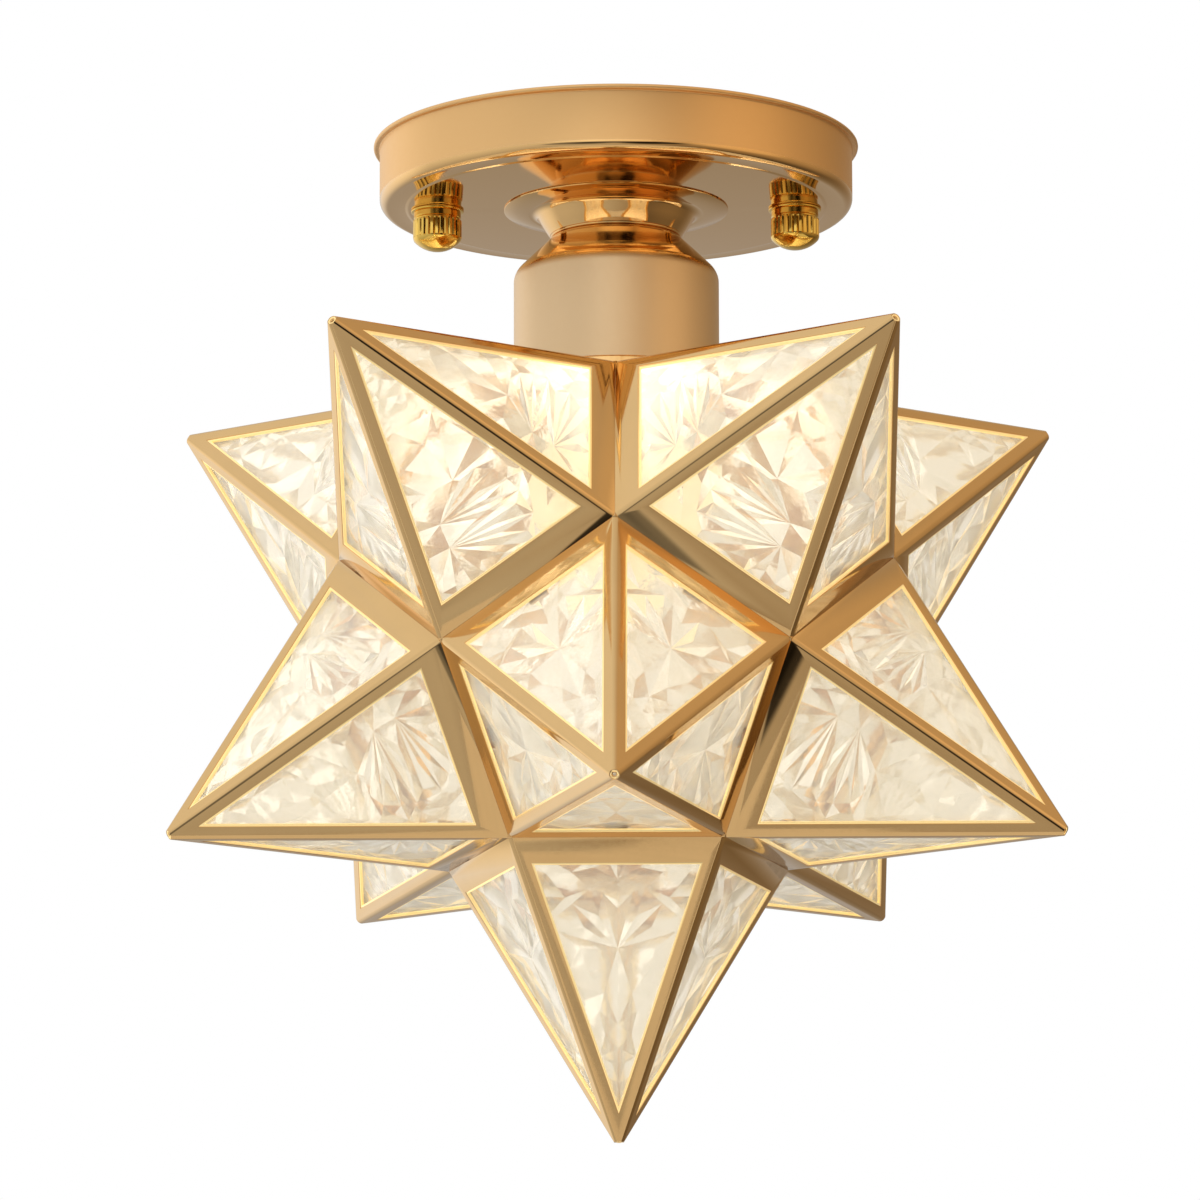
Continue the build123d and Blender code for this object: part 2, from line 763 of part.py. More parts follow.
pane_top = (cage_edge / 2 - pane_side_inset / cos(half_tip) - pane_tip_width / 2) / tan(half_tip)
with BuildPart() as pane:
    add(facet_outline(facet_plane(sheet), pane_base_inset, pane_top, pane_side_inset))
    extrude(amount=glass, dir=-facet_outward)

# A clip is soldered to the strip's back, stands beside the pane's foot and bends over the pane.
# Its profile has X towards the point's tip and Y towards the inside.
clip_plane = Plane(origin=facet_foot, x_dir=facet_plane(0).y_dir, z_dir=-facet_along)
pane_back = sheet + glass
clip_stand = pane_base_inset - clip_sheet
with BuildPart() as clip:
    with BuildSketch(clip_plane):
        with BuildLine():
            Polyline(
                (clip_foot_start, sheet),
                (pane_base_inset, sheet),
                (pane_base_inset, pane_back),
                (pane_base_inset + clip_reach, pane_back),
                (pane_base_inset + clip_reach, pane_back + clip_sheet),
                (clip_stand, pane_back + clip_sheet),
                (clip_stand, sheet + clip_sheet),
                (clip_foot_start, sheet + clip_sheet),
                close=True,
            )
        make_face()
    extrude(amount=clip_width / 2, both=True)


# Where the template of a point goes: its tip along the direction, a corner towards its nearest upper
# or lower neighbour in the middle plane of the star
def point_plane(direction):
    if direction == points["bottom"]:
        corner = Vector(0, 1, 0)
    elif direction.Z < 0:
        corner = Vector(0, 0, 1)
    else:
        corner = Vector(0, 0, -1)
    return Plane(origin=centre + direction * face_drop, x_dir=corner, z_dir=direction)


def around(piece):
    return [piece.rotate(Axis.Z, fifth * turn) for turn in range(5)]


point_bars = around(ridge_bar.part) + around(base_strip.part)
point_panes = around(pane.part)
point_clips = around(clip.part)

clips = []
for name, direction in points.items():
    place = point_plane(direction).location
    save(Compound(children=[bar.moved(place) for bar in point_bars]), f"frame_{name}")
    save(Compound(children=[piece.moved(place) for piece in point_panes]), f"panes_{name}")
    clips += [piece.moved(place) for piece in point_clips]
save(Compound(children=clips), "pane_clips")
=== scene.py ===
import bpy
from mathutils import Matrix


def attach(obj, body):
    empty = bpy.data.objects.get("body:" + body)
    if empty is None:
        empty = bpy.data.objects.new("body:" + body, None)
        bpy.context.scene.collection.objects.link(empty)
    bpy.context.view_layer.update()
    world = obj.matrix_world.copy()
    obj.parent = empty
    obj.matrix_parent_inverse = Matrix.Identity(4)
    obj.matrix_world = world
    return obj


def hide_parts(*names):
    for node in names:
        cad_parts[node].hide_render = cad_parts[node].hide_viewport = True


bl_info = {
    "name": "Star Ceiling Light",
    "version": (1, 0, 0),
    "blender": (4, 5, 0),
    "location": "3D View > Sidebar > Star Light",
    "description": "Dresses the star flush mount ceiling light: canopy, cup, frames, glass, lamp",
    "category": "Add Mesh",
}

from math import asin, atan, atan2, cos, degrees, pi, radians, sin, sqrt, tan

import bmesh
import bpy
from bpy.props import FloatProperty, FloatVectorProperty, IntProperty, PointerProperty
from mathutils import Matrix, Vector
from mathutils.geometry import delaunay_2d_cdt

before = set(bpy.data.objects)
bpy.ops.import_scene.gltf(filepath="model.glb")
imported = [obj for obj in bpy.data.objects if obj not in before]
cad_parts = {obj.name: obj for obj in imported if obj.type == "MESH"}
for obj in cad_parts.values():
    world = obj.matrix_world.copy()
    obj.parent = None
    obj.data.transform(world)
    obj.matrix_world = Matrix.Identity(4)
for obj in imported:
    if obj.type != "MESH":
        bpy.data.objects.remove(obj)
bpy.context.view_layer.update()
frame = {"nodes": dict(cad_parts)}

MM = 0.001
# Vertices of a turned piece that are closer than this are one vertex
MERGE = MM / 1000

# Measures of the star, in metres, as in the CAD model
STAR_CENTRE = Vector((0, 0, -0.1218))
TIP_RADIUS = 0.128
GOLDEN = (1 + sqrt(5)) / 2
FACE_DROP = TIP_RADIUS / sqrt(5)
CAGE_EDGE = TIP_RADIUS / sin(radians(72)) / GOLDEN**2
CORNER_RADIUS = CAGE_EDGE / (2 * sin(radians(36)))
APOTHEM = CAGE_EDGE / (2 * tan(radians(36)))
POINT_HEIGHT = TIP_RADIUS - FACE_DROP
FACET_LEAN = atan(APOTHEM / POINT_HEIGHT)
RIDGE_LEAN = atan(CORNER_RADIUS / POINT_HEIGHT)
HALF_TIP = radians(18)
HALF_VALLEY = atan(GOLDEN)
LOW = -1 / sqrt(5)
HIGH = 1 / sqrt(5)

# Measures of the other pieces, in millimetres, as in the CAD model
STUDS = (("left", -44.0), ("right", 44.0))
NIPPLE_HOLE = 5.3
CANOPY_UNDERSIDE = -16.15
WASHER_UNDERSIDE = -16.75
NECK_UNDERSIDE = -23.5
NUT_HALF_WIDTH = 6.0
NUT_DOME_HEIGHT = 2.8
NUT_TIP = -26.45
KNURL_RADIUS = 5.98
CUP_SHOULDER = (20.2, -34.871)
GLOBE_MIDDLE = -89.8
GLOBE_RADIUS = 22.5
GLOBE_WALL = 0.8
LAMP_CAP_TOP = -45.3
LAMP_CAP_FOOT = -63.44
LAMP_CAP_ROOT = 12.3
LAMP_CAP_CREST = 0.8
LAMP_CAP_PITCH = 3.629
# Radius, pitch, depth, lower end and upper end of a thread
STUD_THREAD = (2.0, 0.7, 0.36, -22.95, 0.0)
NIPPLE_THREAD = (5.0, 1.0, 0.5, -27.5, -7.35)
NIPPLE_BORE = 3.8


# Direction of a face of the core, from its azimuth right of the front and its height
def face_direction(azimuth, height):
    spread = sqrt(1 - height**2)
    return Vector((spread * sin(radians(azimuth)), -spread * cos(radians(azimuth)), height))


POINTS = {
    "bottom": face_direction(0, -1),
    "low_front": face_direction(0, LOW),
    "low_right": face_direction(72, LOW),
    "low_back_right": face_direction(144, LOW),
    "low_back_left": face_direction(-144, LOW),
    "low_left": face_direction(-72, LOW),
    "high_front_right": face_direction(36, HIGH),
    "high_right": face_direction(108, HIGH),
    "high_back": face_direction(180, HIGH),
    "high_left": face_direction(-108, HIGH),
    "high_front_left": face_direction(-36, HIGH),
}


def measure(name, description, default):
    return FloatProperty(name=name, description=description, default=default, unit="LENGTH")


def hue(name, description, default):
    return FloatVectorProperty(
        name=name, description=description, default=default, subtype="COLOR", size=3
    )


# Sizes that a user would change
class StarLightSizes(bpy.types.PropertyGroup):
    sheet: measure("Frame sheet", "Thickness of the frames' sheet metal", 0.0009)
    ridge_leg: measure("Ridge leg", "Width of a frame beside each ridge", 0.0030)
    base_band: measure("Base band", "Width of a frame along a facet's base", 0.0064)
    # The bead round each window carries a brighter gold and a painted glow
    painted_glow_bead: measure("Window bead", "Width of the bright bead round each window", 0.0005)
    ridge_rounding: measure("Ridge rounding", "Outer radius along the ridges", 0.0014)
    tip_rounding: measure("Tip rounding", "Radius of the ball that ends each point", 0.0018)
    glass: measure("Glass", "Thickness of a pane", 0.0020)
    relief: measure("Relief", "Depth of the pressed relief in the glass", 0.0008)
    knurl_depth: measure("Knurl depth", "Depth of the ribs on the cap nuts", 0.00030)
    knurl_ribs: IntProperty(
        name="Knurl ribs", description="Ribs round a cap nut", default=30, min=12, max=60,
    )


# Colours that a user would change
class StarLightColours(bpy.types.PropertyGroup):
    gold: hue("Gold", "Plating of the canopy, the neck and the cup", (0.82, 0.52, 0.22))
    frame: hue("Frame gold", "Plating of the star's frames", (0.80, 0.53, 0.24))
    brass: hue("Brass", "Cap nuts, washers and thumb screws", (0.92, 0.60, 0.13))
    glass: hue("Glass", "Tint of the relief glass", (1.0, 0.97, 0.89))
    lamp: hue("Lamp light", "Colour of the lit filaments", (1.0, 0.80, 0.52))


def sizes():
    return bpy.context.scene.star_light_sizes


def colours():
    return bpy.context.scene.star_light_colours


# Where a point's template goes: its core face on the local XY plane, its tip up, a corner on +X
def point_matrix(direction):
    if direction.z < -0.99:
        corner = Vector((0, 1, 0))
    elif direction.z < 0:
        corner = Vector((0, 0, 1))
    else:
        corner = Vector((0, 0, -1))
    corner = (corner - direction * corner.dot(direction)).normalized()
    side = direction.cross(corner)
    place = Matrix((corner, side, direction)).transposed().to_4x4()
    place.translation = STAR_CENTRE + direction * FACE_DROP
    return place


# Foot, rise, run and outward direction of one facet in its point's own place
def facet_axes(facet):
    azimuth = radians(36 + 72 * facet)
    ahead, aside = cos(azimuth), sin(azimuth)
    leaned, upright = sin(FACET_LEAN), cos(FACET_LEAN)
    foot = Vector((ahead, aside, 0)) * APOTHEM
    rise = Vector((-ahead * leaned, -aside * leaned, upright))
    run = Vector((-aside, ahead, 0))
    out = Vector((ahead * upright, aside * upright, leaned))
    return foot, rise, run, out


# Nothing selected, and vertex selection for the next edit
def deselect():
    if bpy.context.object and bpy.context.object.mode != "OBJECT":
        bpy.ops.object.mode_set(mode="OBJECT")
    bpy.context.scene.tool_settings.mesh_select_mode = (True, False, False)
    bpy.ops.object.select_all(action="DESELECT")


def activate(piece):
    deselect()
    piece.select_set(True)
    bpy.context.view_layer.objects.active = piece


def named(name):
    piece = bpy.context.object
    piece.name = name
    piece.data.name = name
    return piece


def settle(piece):
    activate(piece)
    bpy.ops.object.transform_apply(location=True, rotation=True, scale=True)


def apply_modifiers(piece):
    activate(piece)
    for modifier in list(piece.modifiers):
        bpy.ops.object.modifier_apply(modifier=modifier.name)


def smooth(piece, angle):
    activate(piece)
    bpy.ops.object.shade_smooth_by_angle(angle=radians(angle))


def edit(piece, mode):
    activate(piece)
    bpy.ops.object.mode_set(mode="EDIT")
    bpy.ops.mesh.select_mode(type=mode)
    bpy.ops.mesh.select_all(action="DESELECT")


# Runs an operator on the whole of the mesh being edited
def on_all(operator, **settings):
    bpy.ops.mesh.select_all(action="SELECT")
    operator(**settings)


# Selects the parts of the mesh being edited that pass a test; returns how many
def pick(piece, kind, test):
    made = bmesh.from_edit_mesh(piece.data)
    bpy.ops.mesh.select_all(action="DESELECT")
    parts = {"VERT": made.verts, "EDGE": made.edges, "FACE": made.faces}[kind]
    chosen = [part for part in parts if test(part)]
    for part in chosen:
        part.select_set(True)
    made.select_flush_mode()
    bmesh.update_edit_mesh(piece.data)
    return len(chosen)


# Turns every face outwards, and ends the edit
def face_out():
    on_all(bpy.ops.mesh.normals_make_consistent, inside=False)
    bpy.ops.object.mode_set(mode="OBJECT")


def bevel(piece, width, segments, angle):
    modifier = piece.modifiers.new("edge", "BEVEL")
    modifier.width = width
    modifier.segments = segments
    modifier.limit_method = "ANGLE"
    modifier.angle_limit = radians(angle)
    modifier.harden_normals = False
    apply_modifiers(piece)


# Gives a skin its thickness, inwards
def thicken(piece, thickness, even=False):
    modifier = piece.modifiers.new("sheet", "SOLIDIFY")
    modifier.thickness = thickness
    modifier.offset = -1
    modifier.use_even_offset = even
    apply_modifiers(piece)


# Gives a piece its finish and the body it rides on, and hides the CAD nodes that it stands for
def dress(piece, body, slot, material, *nodes):
    if not piece.data.polygons:
        raise RuntimeError(piece.name + " has no faces")
    piece.data.materials.clear()
    piece.data.materials.append(MATERIALS[material])
    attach(piece, body)
    if nodes:
        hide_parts(*nodes)
    return piece


# Points of an arc in a profile, in millimetres and degrees
def arc(centre, radius, start, end, steps):
    return [
        (
            centre[0] + radius * cos(radians(start + (end - start) * step / steps)),
            centre[1] + radius * sin(radians(start + (end - start) * step / steps)),
        )
        for step in range(steps + 1)
    ]


# Draws a profile of radii and heights in millimetres as a line of edges, and stays in edit mode
def drawn(name, profile, x=0.0):
    deselect()
    bpy.ops.mesh.primitive_plane_add(size=MM)
    piece = named(name)
    bpy.ops.object.mode_set(mode="EDIT")
    bpy.ops.mesh.merge(type="CENTER")
    bpy.ops.transform.translate(value=(x + profile[0][0] * MM, 0, profile[0][1] * MM))
    for here, there in zip(profile, profile[1:]):
        step = ((there[0] - here[0]) * MM, 0, (there[1] - here[1]) * MM)
        bpy.ops.mesh.extrude_region_move(TRANSFORM_OT_translate={"value": step})
    return piece


# A turned piece: a closed profile spun about an upright axis, which stands at x in metres
def turned(name, profile, steps, x=0.0, angle=30):
    piece = drawn(name, profile + profile[:1], x)
    on_all(bpy.ops.mesh.remove_doubles, threshold=MERGE)
    on_all(bpy.ops.mesh.spin, steps=steps, angle=2 * pi, center=(x, 0, 0), axis=(0, 0, 1))
    on_all(bpy.ops.mesh.remove_doubles, threshold=MERGE)
    face_out()
    settle(piece)
    smooth(piece, angle)
    return piece


# Turns a drawn profile of one pitch into a thread, cut flat at two heights; stays in edit mode
def screw(piece, pitch, turns, steps, low, high, fill):
    bpy.ops.object.mode_set(mode="OBJECT")
    settle(piece)
    turning = piece.modifiers.new("thread", "SCREW")
    turning.axis = "Z"
    turning.angle = 2 * pi
    turning.screw_offset = pitch * MM
    turning.iterations = turns
    turning.steps = turning.render_steps = steps
    turning.use_merge_vertices = True
    turning.merge_threshold = MERGE
    apply_modifiers(piece)
    edit(piece, "VERT")
    for height, side in ((low, "clear_inner"), (high, "clear_outer")):
        on_all(bpy.ops.mesh.bisect, plane_co=(0, 0, height * MM), plane_no=(0, 0, 1),
               use_fill=fill, **{side: True})


# A rod with a real screw thread between two heights; its axis stands at x in metres
def threaded_rod(name, radius, pitch, depth, low, high, x, steps):
    root, crest = radius - depth, radius - 0.12 * depth
    start = low - pitch
    piece = drawn(name, [
        (root, start), (crest, start + 0.42 * pitch), (crest, start + 0.58 * pitch),
        (root, start + pitch),
    ])
    screw(piece, pitch, int((high - low) / pitch) + 3, steps, low, high, True)
    on_all(bpy.ops.mesh.remove_doubles, threshold=MERGE / 2)
    on_all(bpy.ops.mesh.normals_make_consistent, inside=False)
    on_all(bpy.ops.transform.translate, value=(x, 0, 0))
    bpy.ops.object.mode_set(mode="OBJECT")
    smooth(piece, 30)
    return piece


# Cuts away what a second piece covers, and removes that piece
def carve(piece, tool):
    modifier = piece.modifiers.new("cut", "BOOLEAN")
    modifier.operation = "DIFFERENCE"
    modifier.solver = "EXACT"
    modifier.object = tool
    apply_modifiers(piece)
    bpy.data.objects.remove(tool)


# An upright cylinder between two heights, in millimetres
def cylinder(name, radius, low, high, x=0.0):
    deselect()
    bpy.ops.mesh.primitive_cylinder_add(
        vertices=48, radius=radius * MM, depth=(high - low) * MM,
        location=(x * MM, 0, (high + low) / 2 * MM),
    )
    piece = named(name)
    settle(piece)
    return piece


def join(name, *pieces):
    deselect()
    for piece in pieces:
        piece.select_set(True)
    bpy.context.view_layer.objects.active = pieces[0]
    bpy.ops.object.join()
    return named(name)


# Nodes of one material, with the Principled shader ready to take its detail
class Nodes:
    def __init__(self, name):
        self.material = bpy.data.materials.new(name)
        self.material.use_nodes = True
        self.tree = self.material.node_tree
        self.shader = self.tree.nodes["Principled BSDF"]
        self.place = self.add("ShaderNodeTexCoord").outputs["Object"]

    def add(self, kind, **settings):
        node = self.tree.nodes.new(kind)
        for key, value in settings.items():
            setattr(node, key, value)
        return node

    def link(self, source, target):
        self.tree.links.new(source, target)

    # Links an input of the shader, or sets it
    def feed(self, name, value):
        if isinstance(value, bpy.types.NodeSocket):
            self.link(value, self.shader.inputs[name])
        else:
            self.shader.inputs[name].default_value = value

    def noise(self, scale, detail, roughness):
        node = self.add("ShaderNodeTexNoise")
        node.inputs["Scale"].default_value = scale
        node.inputs["Detail"].default_value = detail
        node.inputs["Roughness"].default_value = roughness
        self.link(self.place, node.inputs["Vector"])
        return node.outputs["Fac"]

    def span(self, value, low, high, start=0.3, end=0.7):
        node = self.add("ShaderNodeMapRange")
        node.inputs["From Min"].default_value = start
        node.inputs["From Max"].default_value = end
        node.inputs["To Min"].default_value = low
        node.inputs["To Max"].default_value = high
        self.link(value, node.inputs["Value"])
        return node.outputs["Result"]

    def mix(self, value, first, second):
        node = self.add("ShaderNodeMix", data_type="RGBA")
        self.link(value, node.inputs["Factor"])
        node.inputs["A"].default_value = (*first, 1)
        node.inputs["B"].default_value = (*second, 1)
        return node.outputs["Result"]

    def bump(self, value, strength, distance):
        node = self.add("ShaderNodeBump")
        node.inputs["Strength"].default_value = strength
        node.inputs["Distance"].default_value = distance
        self.link(value, node.inputs["Height"])
        self.link(node.outputs["Normal"], self.shader.inputs["Normal"])


def shade(colour, share):
    return tuple(channel * share for channel in colour)


# Plated or turned metal: a faint change of tone, and fine marks in the polish
def metal(name, colour, roughness, spread, tone=0.95, grain=0.0):
    made = Nodes(name)
    patches = made.noise(55, 4, 0.6)
    colour = tuple(colour)
    made.feed("Base Color", made.mix(made.span(patches, 0, 1), shade(colour, tone), colour))
    wear = made.noise(700, 4, 0.6)
    made.feed("Roughness", made.span(wear, roughness - spread, roughness + spread))
    made.feed("Metallic", 1.0)
    if grain:
        made.bump(wear, grain, 0.00004)
    return made.material


# Gold that turns from polished at one height to satin at another
def part_satin(name, colour, satin_colour, polished, satin):
    made = Nodes(name)
    split = made.add("ShaderNodeSeparateXYZ")
    made.link(made.place, split.inputs["Vector"])
    height = split.outputs["Z"]
    dulled = made.span(height, 0, 1, polished, satin)
    made.feed("Base Color", made.mix(dulled, tuple(colour), satin_colour))
    total = made.add("ShaderNodeMath", operation="ADD")
    made.link(made.span(height, 0.07, 0.42, polished, satin), total.inputs[0])
    made.link(made.span(made.noise(700, 4, 0.6), -0.02, 0.02), total.inputs[1])
    made.feed("Roughness", total.outputs[0])
    made.feed("Metallic", 1.0)
    return made.material


# Paint, glaze or plastic in two close tones
def enamel(name, colour, dark, roughness):
    made = Nodes(name)
    patches = made.noise(120, 4, 0.6)
    made.feed("Base Color", made.mix(made.span(patches, 0, 1), dark, colour))
    wear = made.noise(600, 3, 0.6)
    made.feed("Roughness", made.span(wear, roughness * 0.7, roughness * 1.3))
    made.bump(wear, 0.05, 0.0001)
    return made.material


# The painted glow of the glass near the lamp: distances in metres over which it fades, its gain and
# its colour
PAINTED_GLOW_REACH = (0.046, 0.070)
PAINTED_GLOW_GAIN = 8
PAINTED_GLOW_WHITE = (1.0, 0.97, 0.92)


# Glass with a fine ripple, and a faint painted glow that grows stronger and whiter near the lamp
def clear_glass(name, tint, rough, painted_glow_colour, painted_glow, ripple_bump, clear=1.0):
    made = Nodes(name)
    patches = made.noise(90, 3, 0.5)
    tint = tuple(tint)
    made.feed("Base Color", made.mix(made.span(patches, 0, 1), shade(tint, 0.97), tint))
    ripple = made.noise(380, 2, 0.5)
    made.feed("Roughness", made.span(ripple, rough * 0.6, rough * 1.4))
    made.bump(ripple, ripple_bump, 0.0004)
    made.feed("IOR", 1.5)
    made.feed("Transmission Weight", clear)
    made.feed("Emission Color", (*painted_glow_colour, 1))
    # Painted glow: the glass gives off light in place of the lamp's light within it
    if painted_glow:
        away = made.add("ShaderNodeVectorMath", operation="DISTANCE")
        made.link(made.place, away.inputs[0])
        away.inputs[1].default_value = (0, 0, GLOBE_MIDDLE * MM)
        near = made.span(away.outputs["Value"], 1, 0, *PAINTED_GLOW_REACH)
        made.feed("Emission Color", made.mix(near, painted_glow_colour, PAINTED_GLOW_WHITE))
        made.feed("Emission Strength", made.span(near, painted_glow, painted_glow * PAINTED_GLOW_GAIN, 0, 1))
    return made.material


# A surface that gives light
def lit(name, colour, strength):
    made = Nodes(name)
    colour = tuple(colour)
    patches = made.noise(300, 2, 0.5)
    made.feed("Emission Color", made.mix(made.span(patches, 0, 1), shade(colour, 0.85), colour))
    made.feed("Base Color", (*shade(colour, 0.3), 1))
    made.feed("Emission Strength", strength)
    made.feed("Roughness", 0.4)
    return made.material


MATERIALS = {}

# Nodes of the CAD model that keep their shape and only get a finish; the others are replaced
KEPT = {
    "zinc": ("earth_washer", "body_screws"),
    "contact": ("holder_screw_shell", "centre_contact", "contact_rivet"),
    "frame": ("valley_cage", "pane_clips"),
    "nickel": ("lamp_tip_contact",),
    "black": ("lamp_insulator",),
    "lamp_glass": ("lamp_stem",),
    "filament": ("lamp_filaments",),
}


class STARLIGHT_OT_finishes(bpy.types.Operator):
    """Make the finishes and put them on the CAD nodes that keep their shape"""

    bl_idname = "star_light.finishes"
    bl_label = "Finishes"

    def execute(self, context):
        gold, plated, brass = colours().gold, colours().frame, colours().brass
        MATERIALS["gold"] = metal("gold_polished", gold, 0.06, 0.015)
        MATERIALS["canopy"] = part_satin("gold_canopy", gold, (0.88, 0.55, 0.24), -0.0140, -0.0134)
        MATERIALS["cup"] = part_satin("gold_cup", gold, (0.78, 0.57, 0.34), -0.0322, -0.0335)
        MATERIALS["frame"] = metal("gold_frame", plated, 0.08, 0.025)
        # Window beads: a brighter gold that gives off a painted glow, standing in for the lamp's
        # light along the window edges
        MATERIALS["painted_glow_bead"] = metal("gold_bead_painted_glow", (0.90, 0.68, 0.30), 0.15, 0.03)
        painted_glow_bead = MATERIALS["painted_glow_bead"].node_tree.nodes["Principled BSDF"].inputs
        painted_glow_bead["Emission Color"].default_value = (1.0, 0.78, 0.38, 1)
        painted_glow_bead["Emission Strength"].default_value = 0.45
        MATERIALS["brass"] = metal("brass_turned", brass, 0.12, 0.04, 0.85)
        MATERIALS["contact"] = metal("brass_plain", (0.78, 0.62, 0.34), 0.28, 0.06, 0.88)
        MATERIALS["zinc"] = metal("zinc_plated", (0.70, 0.71, 0.72), 0.32, 0.08, 0.85, 0.1)
        MATERIALS["nickel"] = metal("nickel_cap", (0.78, 0.77, 0.74), 0.22, 0.05, 0.9)
        MATERIALS["green"] = enamel("earth_green", (0.05, 0.38, 0.12), (0.03, 0.28, 0.08), 0.3)
        MATERIALS["porcelain"] = enamel(
            "porcelain_glaze", (0.90, 0.89, 0.85), (0.85, 0.84, 0.80), 0.15
        )
        MATERIALS["black"] = enamel("insulator_black", (0.02, 0.02, 0.02), (0.03, 0.03, 0.03), 0.2)
        # The relief glass gives off a painted glow, standing in for the lamp's light in the panes
        MATERIALS["relief"] = clear_glass(
            "relief_glass_painted_glow", colours().glass, 0.10, (1.0, 0.88, 0.67), 0.065, 0.14, 0.76
        )
        MATERIALS["lamp_glass"] = clear_glass(
            "lamp_glass", (1.0, 0.98, 0.95), 0.03, (1.0, 0.85, 0.62), 0.0, 0.0
        )
        MATERIALS["lamp_frosted"] = lit("lamp_frosted", (1.0, 0.80, 0.46), 1.25)
        MATERIALS["filament"] = lit("filament", colours().lamp, 30.0)
        for finish, names in KEPT.items():
            for name in names:
                node = frame["nodes"][name]
                node.data.materials.clear()
                node.data.materials.append(MATERIALS[finish])
        return {"FINISHED"}


# Pieces with their edges broken: new name, CAD node, body, slot, finish, bevel in mm
SOFTENED = [
    ("crossbar_deburred", "crossbar", "ceiling_bar", "zinc_steel", "zinc", 0.2),
    ("stud_nuts_chamfered", "stud_lock_nuts", "ceiling_bar", "zinc_steel", "zinc", 0.2),
    ("earth_screw_head", "earth_screw", "ceiling_bar", "earth_green", "green", 0.15),
    ("nipple_nut_chamfered", "nipple_nut", "canopy_set", "zinc_steel", "zinc", 0.25),
    ("nipple_washer_rounded", "nipple_washer", "canopy_set", "zinc_steel", "zinc", 0.15),
    ("holder_base_rounded", "holder_base", "canopy_set", "zinc_steel", "zinc", 0.2),
    ("porcelain_glazed", "porcelain_body", "canopy_set", "porcelain", "porcelain", 0.4),
    ("terminal_screws_rounded", "terminal_screws", "canopy_set", "zinc_steel", "zinc", 0.1),
    ("collar_rounded", "shade_collar", "star", "gold_polished", "gold", 0.2),
    ("top_plate_rounded", "top_plate", "star", "gold_frame", "frame", 0.15),
    ("thumb_back_rounded", "thumb_screw_back", "thumb_back", "brass_fasteners", "brass", 0.2),
    ("thumb_left_rounded", "thumb_screw_left", "thumb_left", "brass_fasteners", "brass", 0.2),
    ("thumb_right_rounded", "thumb_screw_right", "thumb_right", "brass_fasteners", "brass", 0.2),
]


class STARLIGHT_OT_softened(bpy.types.Operator):
    """Break the edges of the small plates, nuts, screws and the porcelain"""

    bl_idname = "star_light.softened"
    bl_label = "Softened Edges"

    def execute(self, context):
        for name, node, body, slot, finish, width in SOFTENED:
            source = frame["nodes"][node]
            piece = bpy.data.objects.new(name, source.data.copy())
            piece.data.name = name
            context.scene.collection.objects.link(piece)
            piece.matrix_world = source.matrix_world
            settle(piece)
            edit(piece, "VERT")
            bpy.ops.mesh.select_all(action="SELECT")
            bpy.ops.mesh.remove_doubles(threshold=MM / 500)
            bpy.ops.mesh.dissolve_limited(angle_limit=radians(2))
            bpy.ops.mesh.normals_make_consistent(inside=False)
            bpy.ops.object.mode_set(mode="OBJECT")
            bevel(piece, width * MM, 3, 40)
            smooth(piece, 35)
            dress(piece, body, slot, finish, node)
        return {"FINISHED"}


class STARLIGHT_OT_canopy(bpy.types.Operator):
    """Turn the canopy: a pan with a rolled lip, a round lower corner and a pressed step"""

    bl_idname = "star_light.canopy"
    bl_label = "Canopy"

    def execute(self, context):
        outer = [(NIPPLE_HOLE, CANOPY_UNDERSIDE), (51.0, CANOPY_UNDERSIDE)]
        outer += [(51.35, -16.12), (51.75, -15.96), (52.1, -15.9), (56.0, -15.9)]
        outer += arc((56.1, -13.8), 2.1, -90, 0, 12)
        outer += [(58.2, -1.75)]
        outer += arc((58.65, -1.75), 0.45, 180, 90, 3)
        outer += arc((59.11, -0.71), 0.59, -90, 90, 8)
        inner = [(57.4, -0.12), (57.4, -13.8)]
        inner += arc((56.1, -13.8), 1.3, 0, -90, 8)
        inner += [(52.1, -15.1), (51.3, -15.35), (NIPPLE_HOLE, -15.35)]
        shell = turned("canopy_shell", outer + inner, 192)
        for _, x in STUDS:
            carve(shell, cylinder("stud_hole", 2.4, -18, -12, x))
        smooth(shell, 30)
        dress(shell, "canopy_set", "gold_polished", "canopy", "canopy")
        return {"FINISHED"}


class STARLIGHT_OT_neck(bpy.types.Operator):
    """Turn the neck and the socket cup under it"""

    bl_idname = "star_light.neck"
    bl_label = "Neck and Cup"

    def execute(self, context):
        profile = [(NIPPLE_HOLE, CANOPY_UNDERSIDE), (27.4, CANOPY_UNDERSIDE)]
        profile += arc((27.4, -16.35), 0.2, 90, -80, 4)
        profile += [(24.5, -16.95), (21.6, -17.45)]
        profile += arc((21.0, -19.6), 2.2, 80, 150, 6)
        profile += [(18.3, -20.0), (17.2, -21.7), (16.35, -22.95)]
        profile += arc((15.85, -23.15), 0.35, 20, -90, 4)
        profile += [(NIPPLE_HOLE, NECK_UNDERSIDE)]
        neck = turned("neck_turning", profile, 160)
        dress(neck, "canopy_set", "gold_polished", "gold", "neck")

        profile = [(NIPPLE_HOLE, NECK_UNDERSIDE)]
        profile += arc((15.55, -24.0), 0.5, 90, 40, 4)
        profile += arc(CUP_SHOULDER, 5.0, 45, 0, 10)
        profile += [(25.2, -64.9)]
        profile += arc((24.8, -65.157), 0.4, 0, -180, 6)
        profile += [(24.4, CUP_SHOULDER[1])]
        profile += arc(CUP_SHOULDER, 4.2, 0, 45, 8)
        profile += [(16.2, -24.9), (15.6, -24.3), (NIPPLE_HOLE, -24.3)]
        cup = turned("cup_shell", profile, 160)
        dress(cup, "canopy_set", "gold_polished", "cup", "socket_cup")
        return {"FINISHED"}


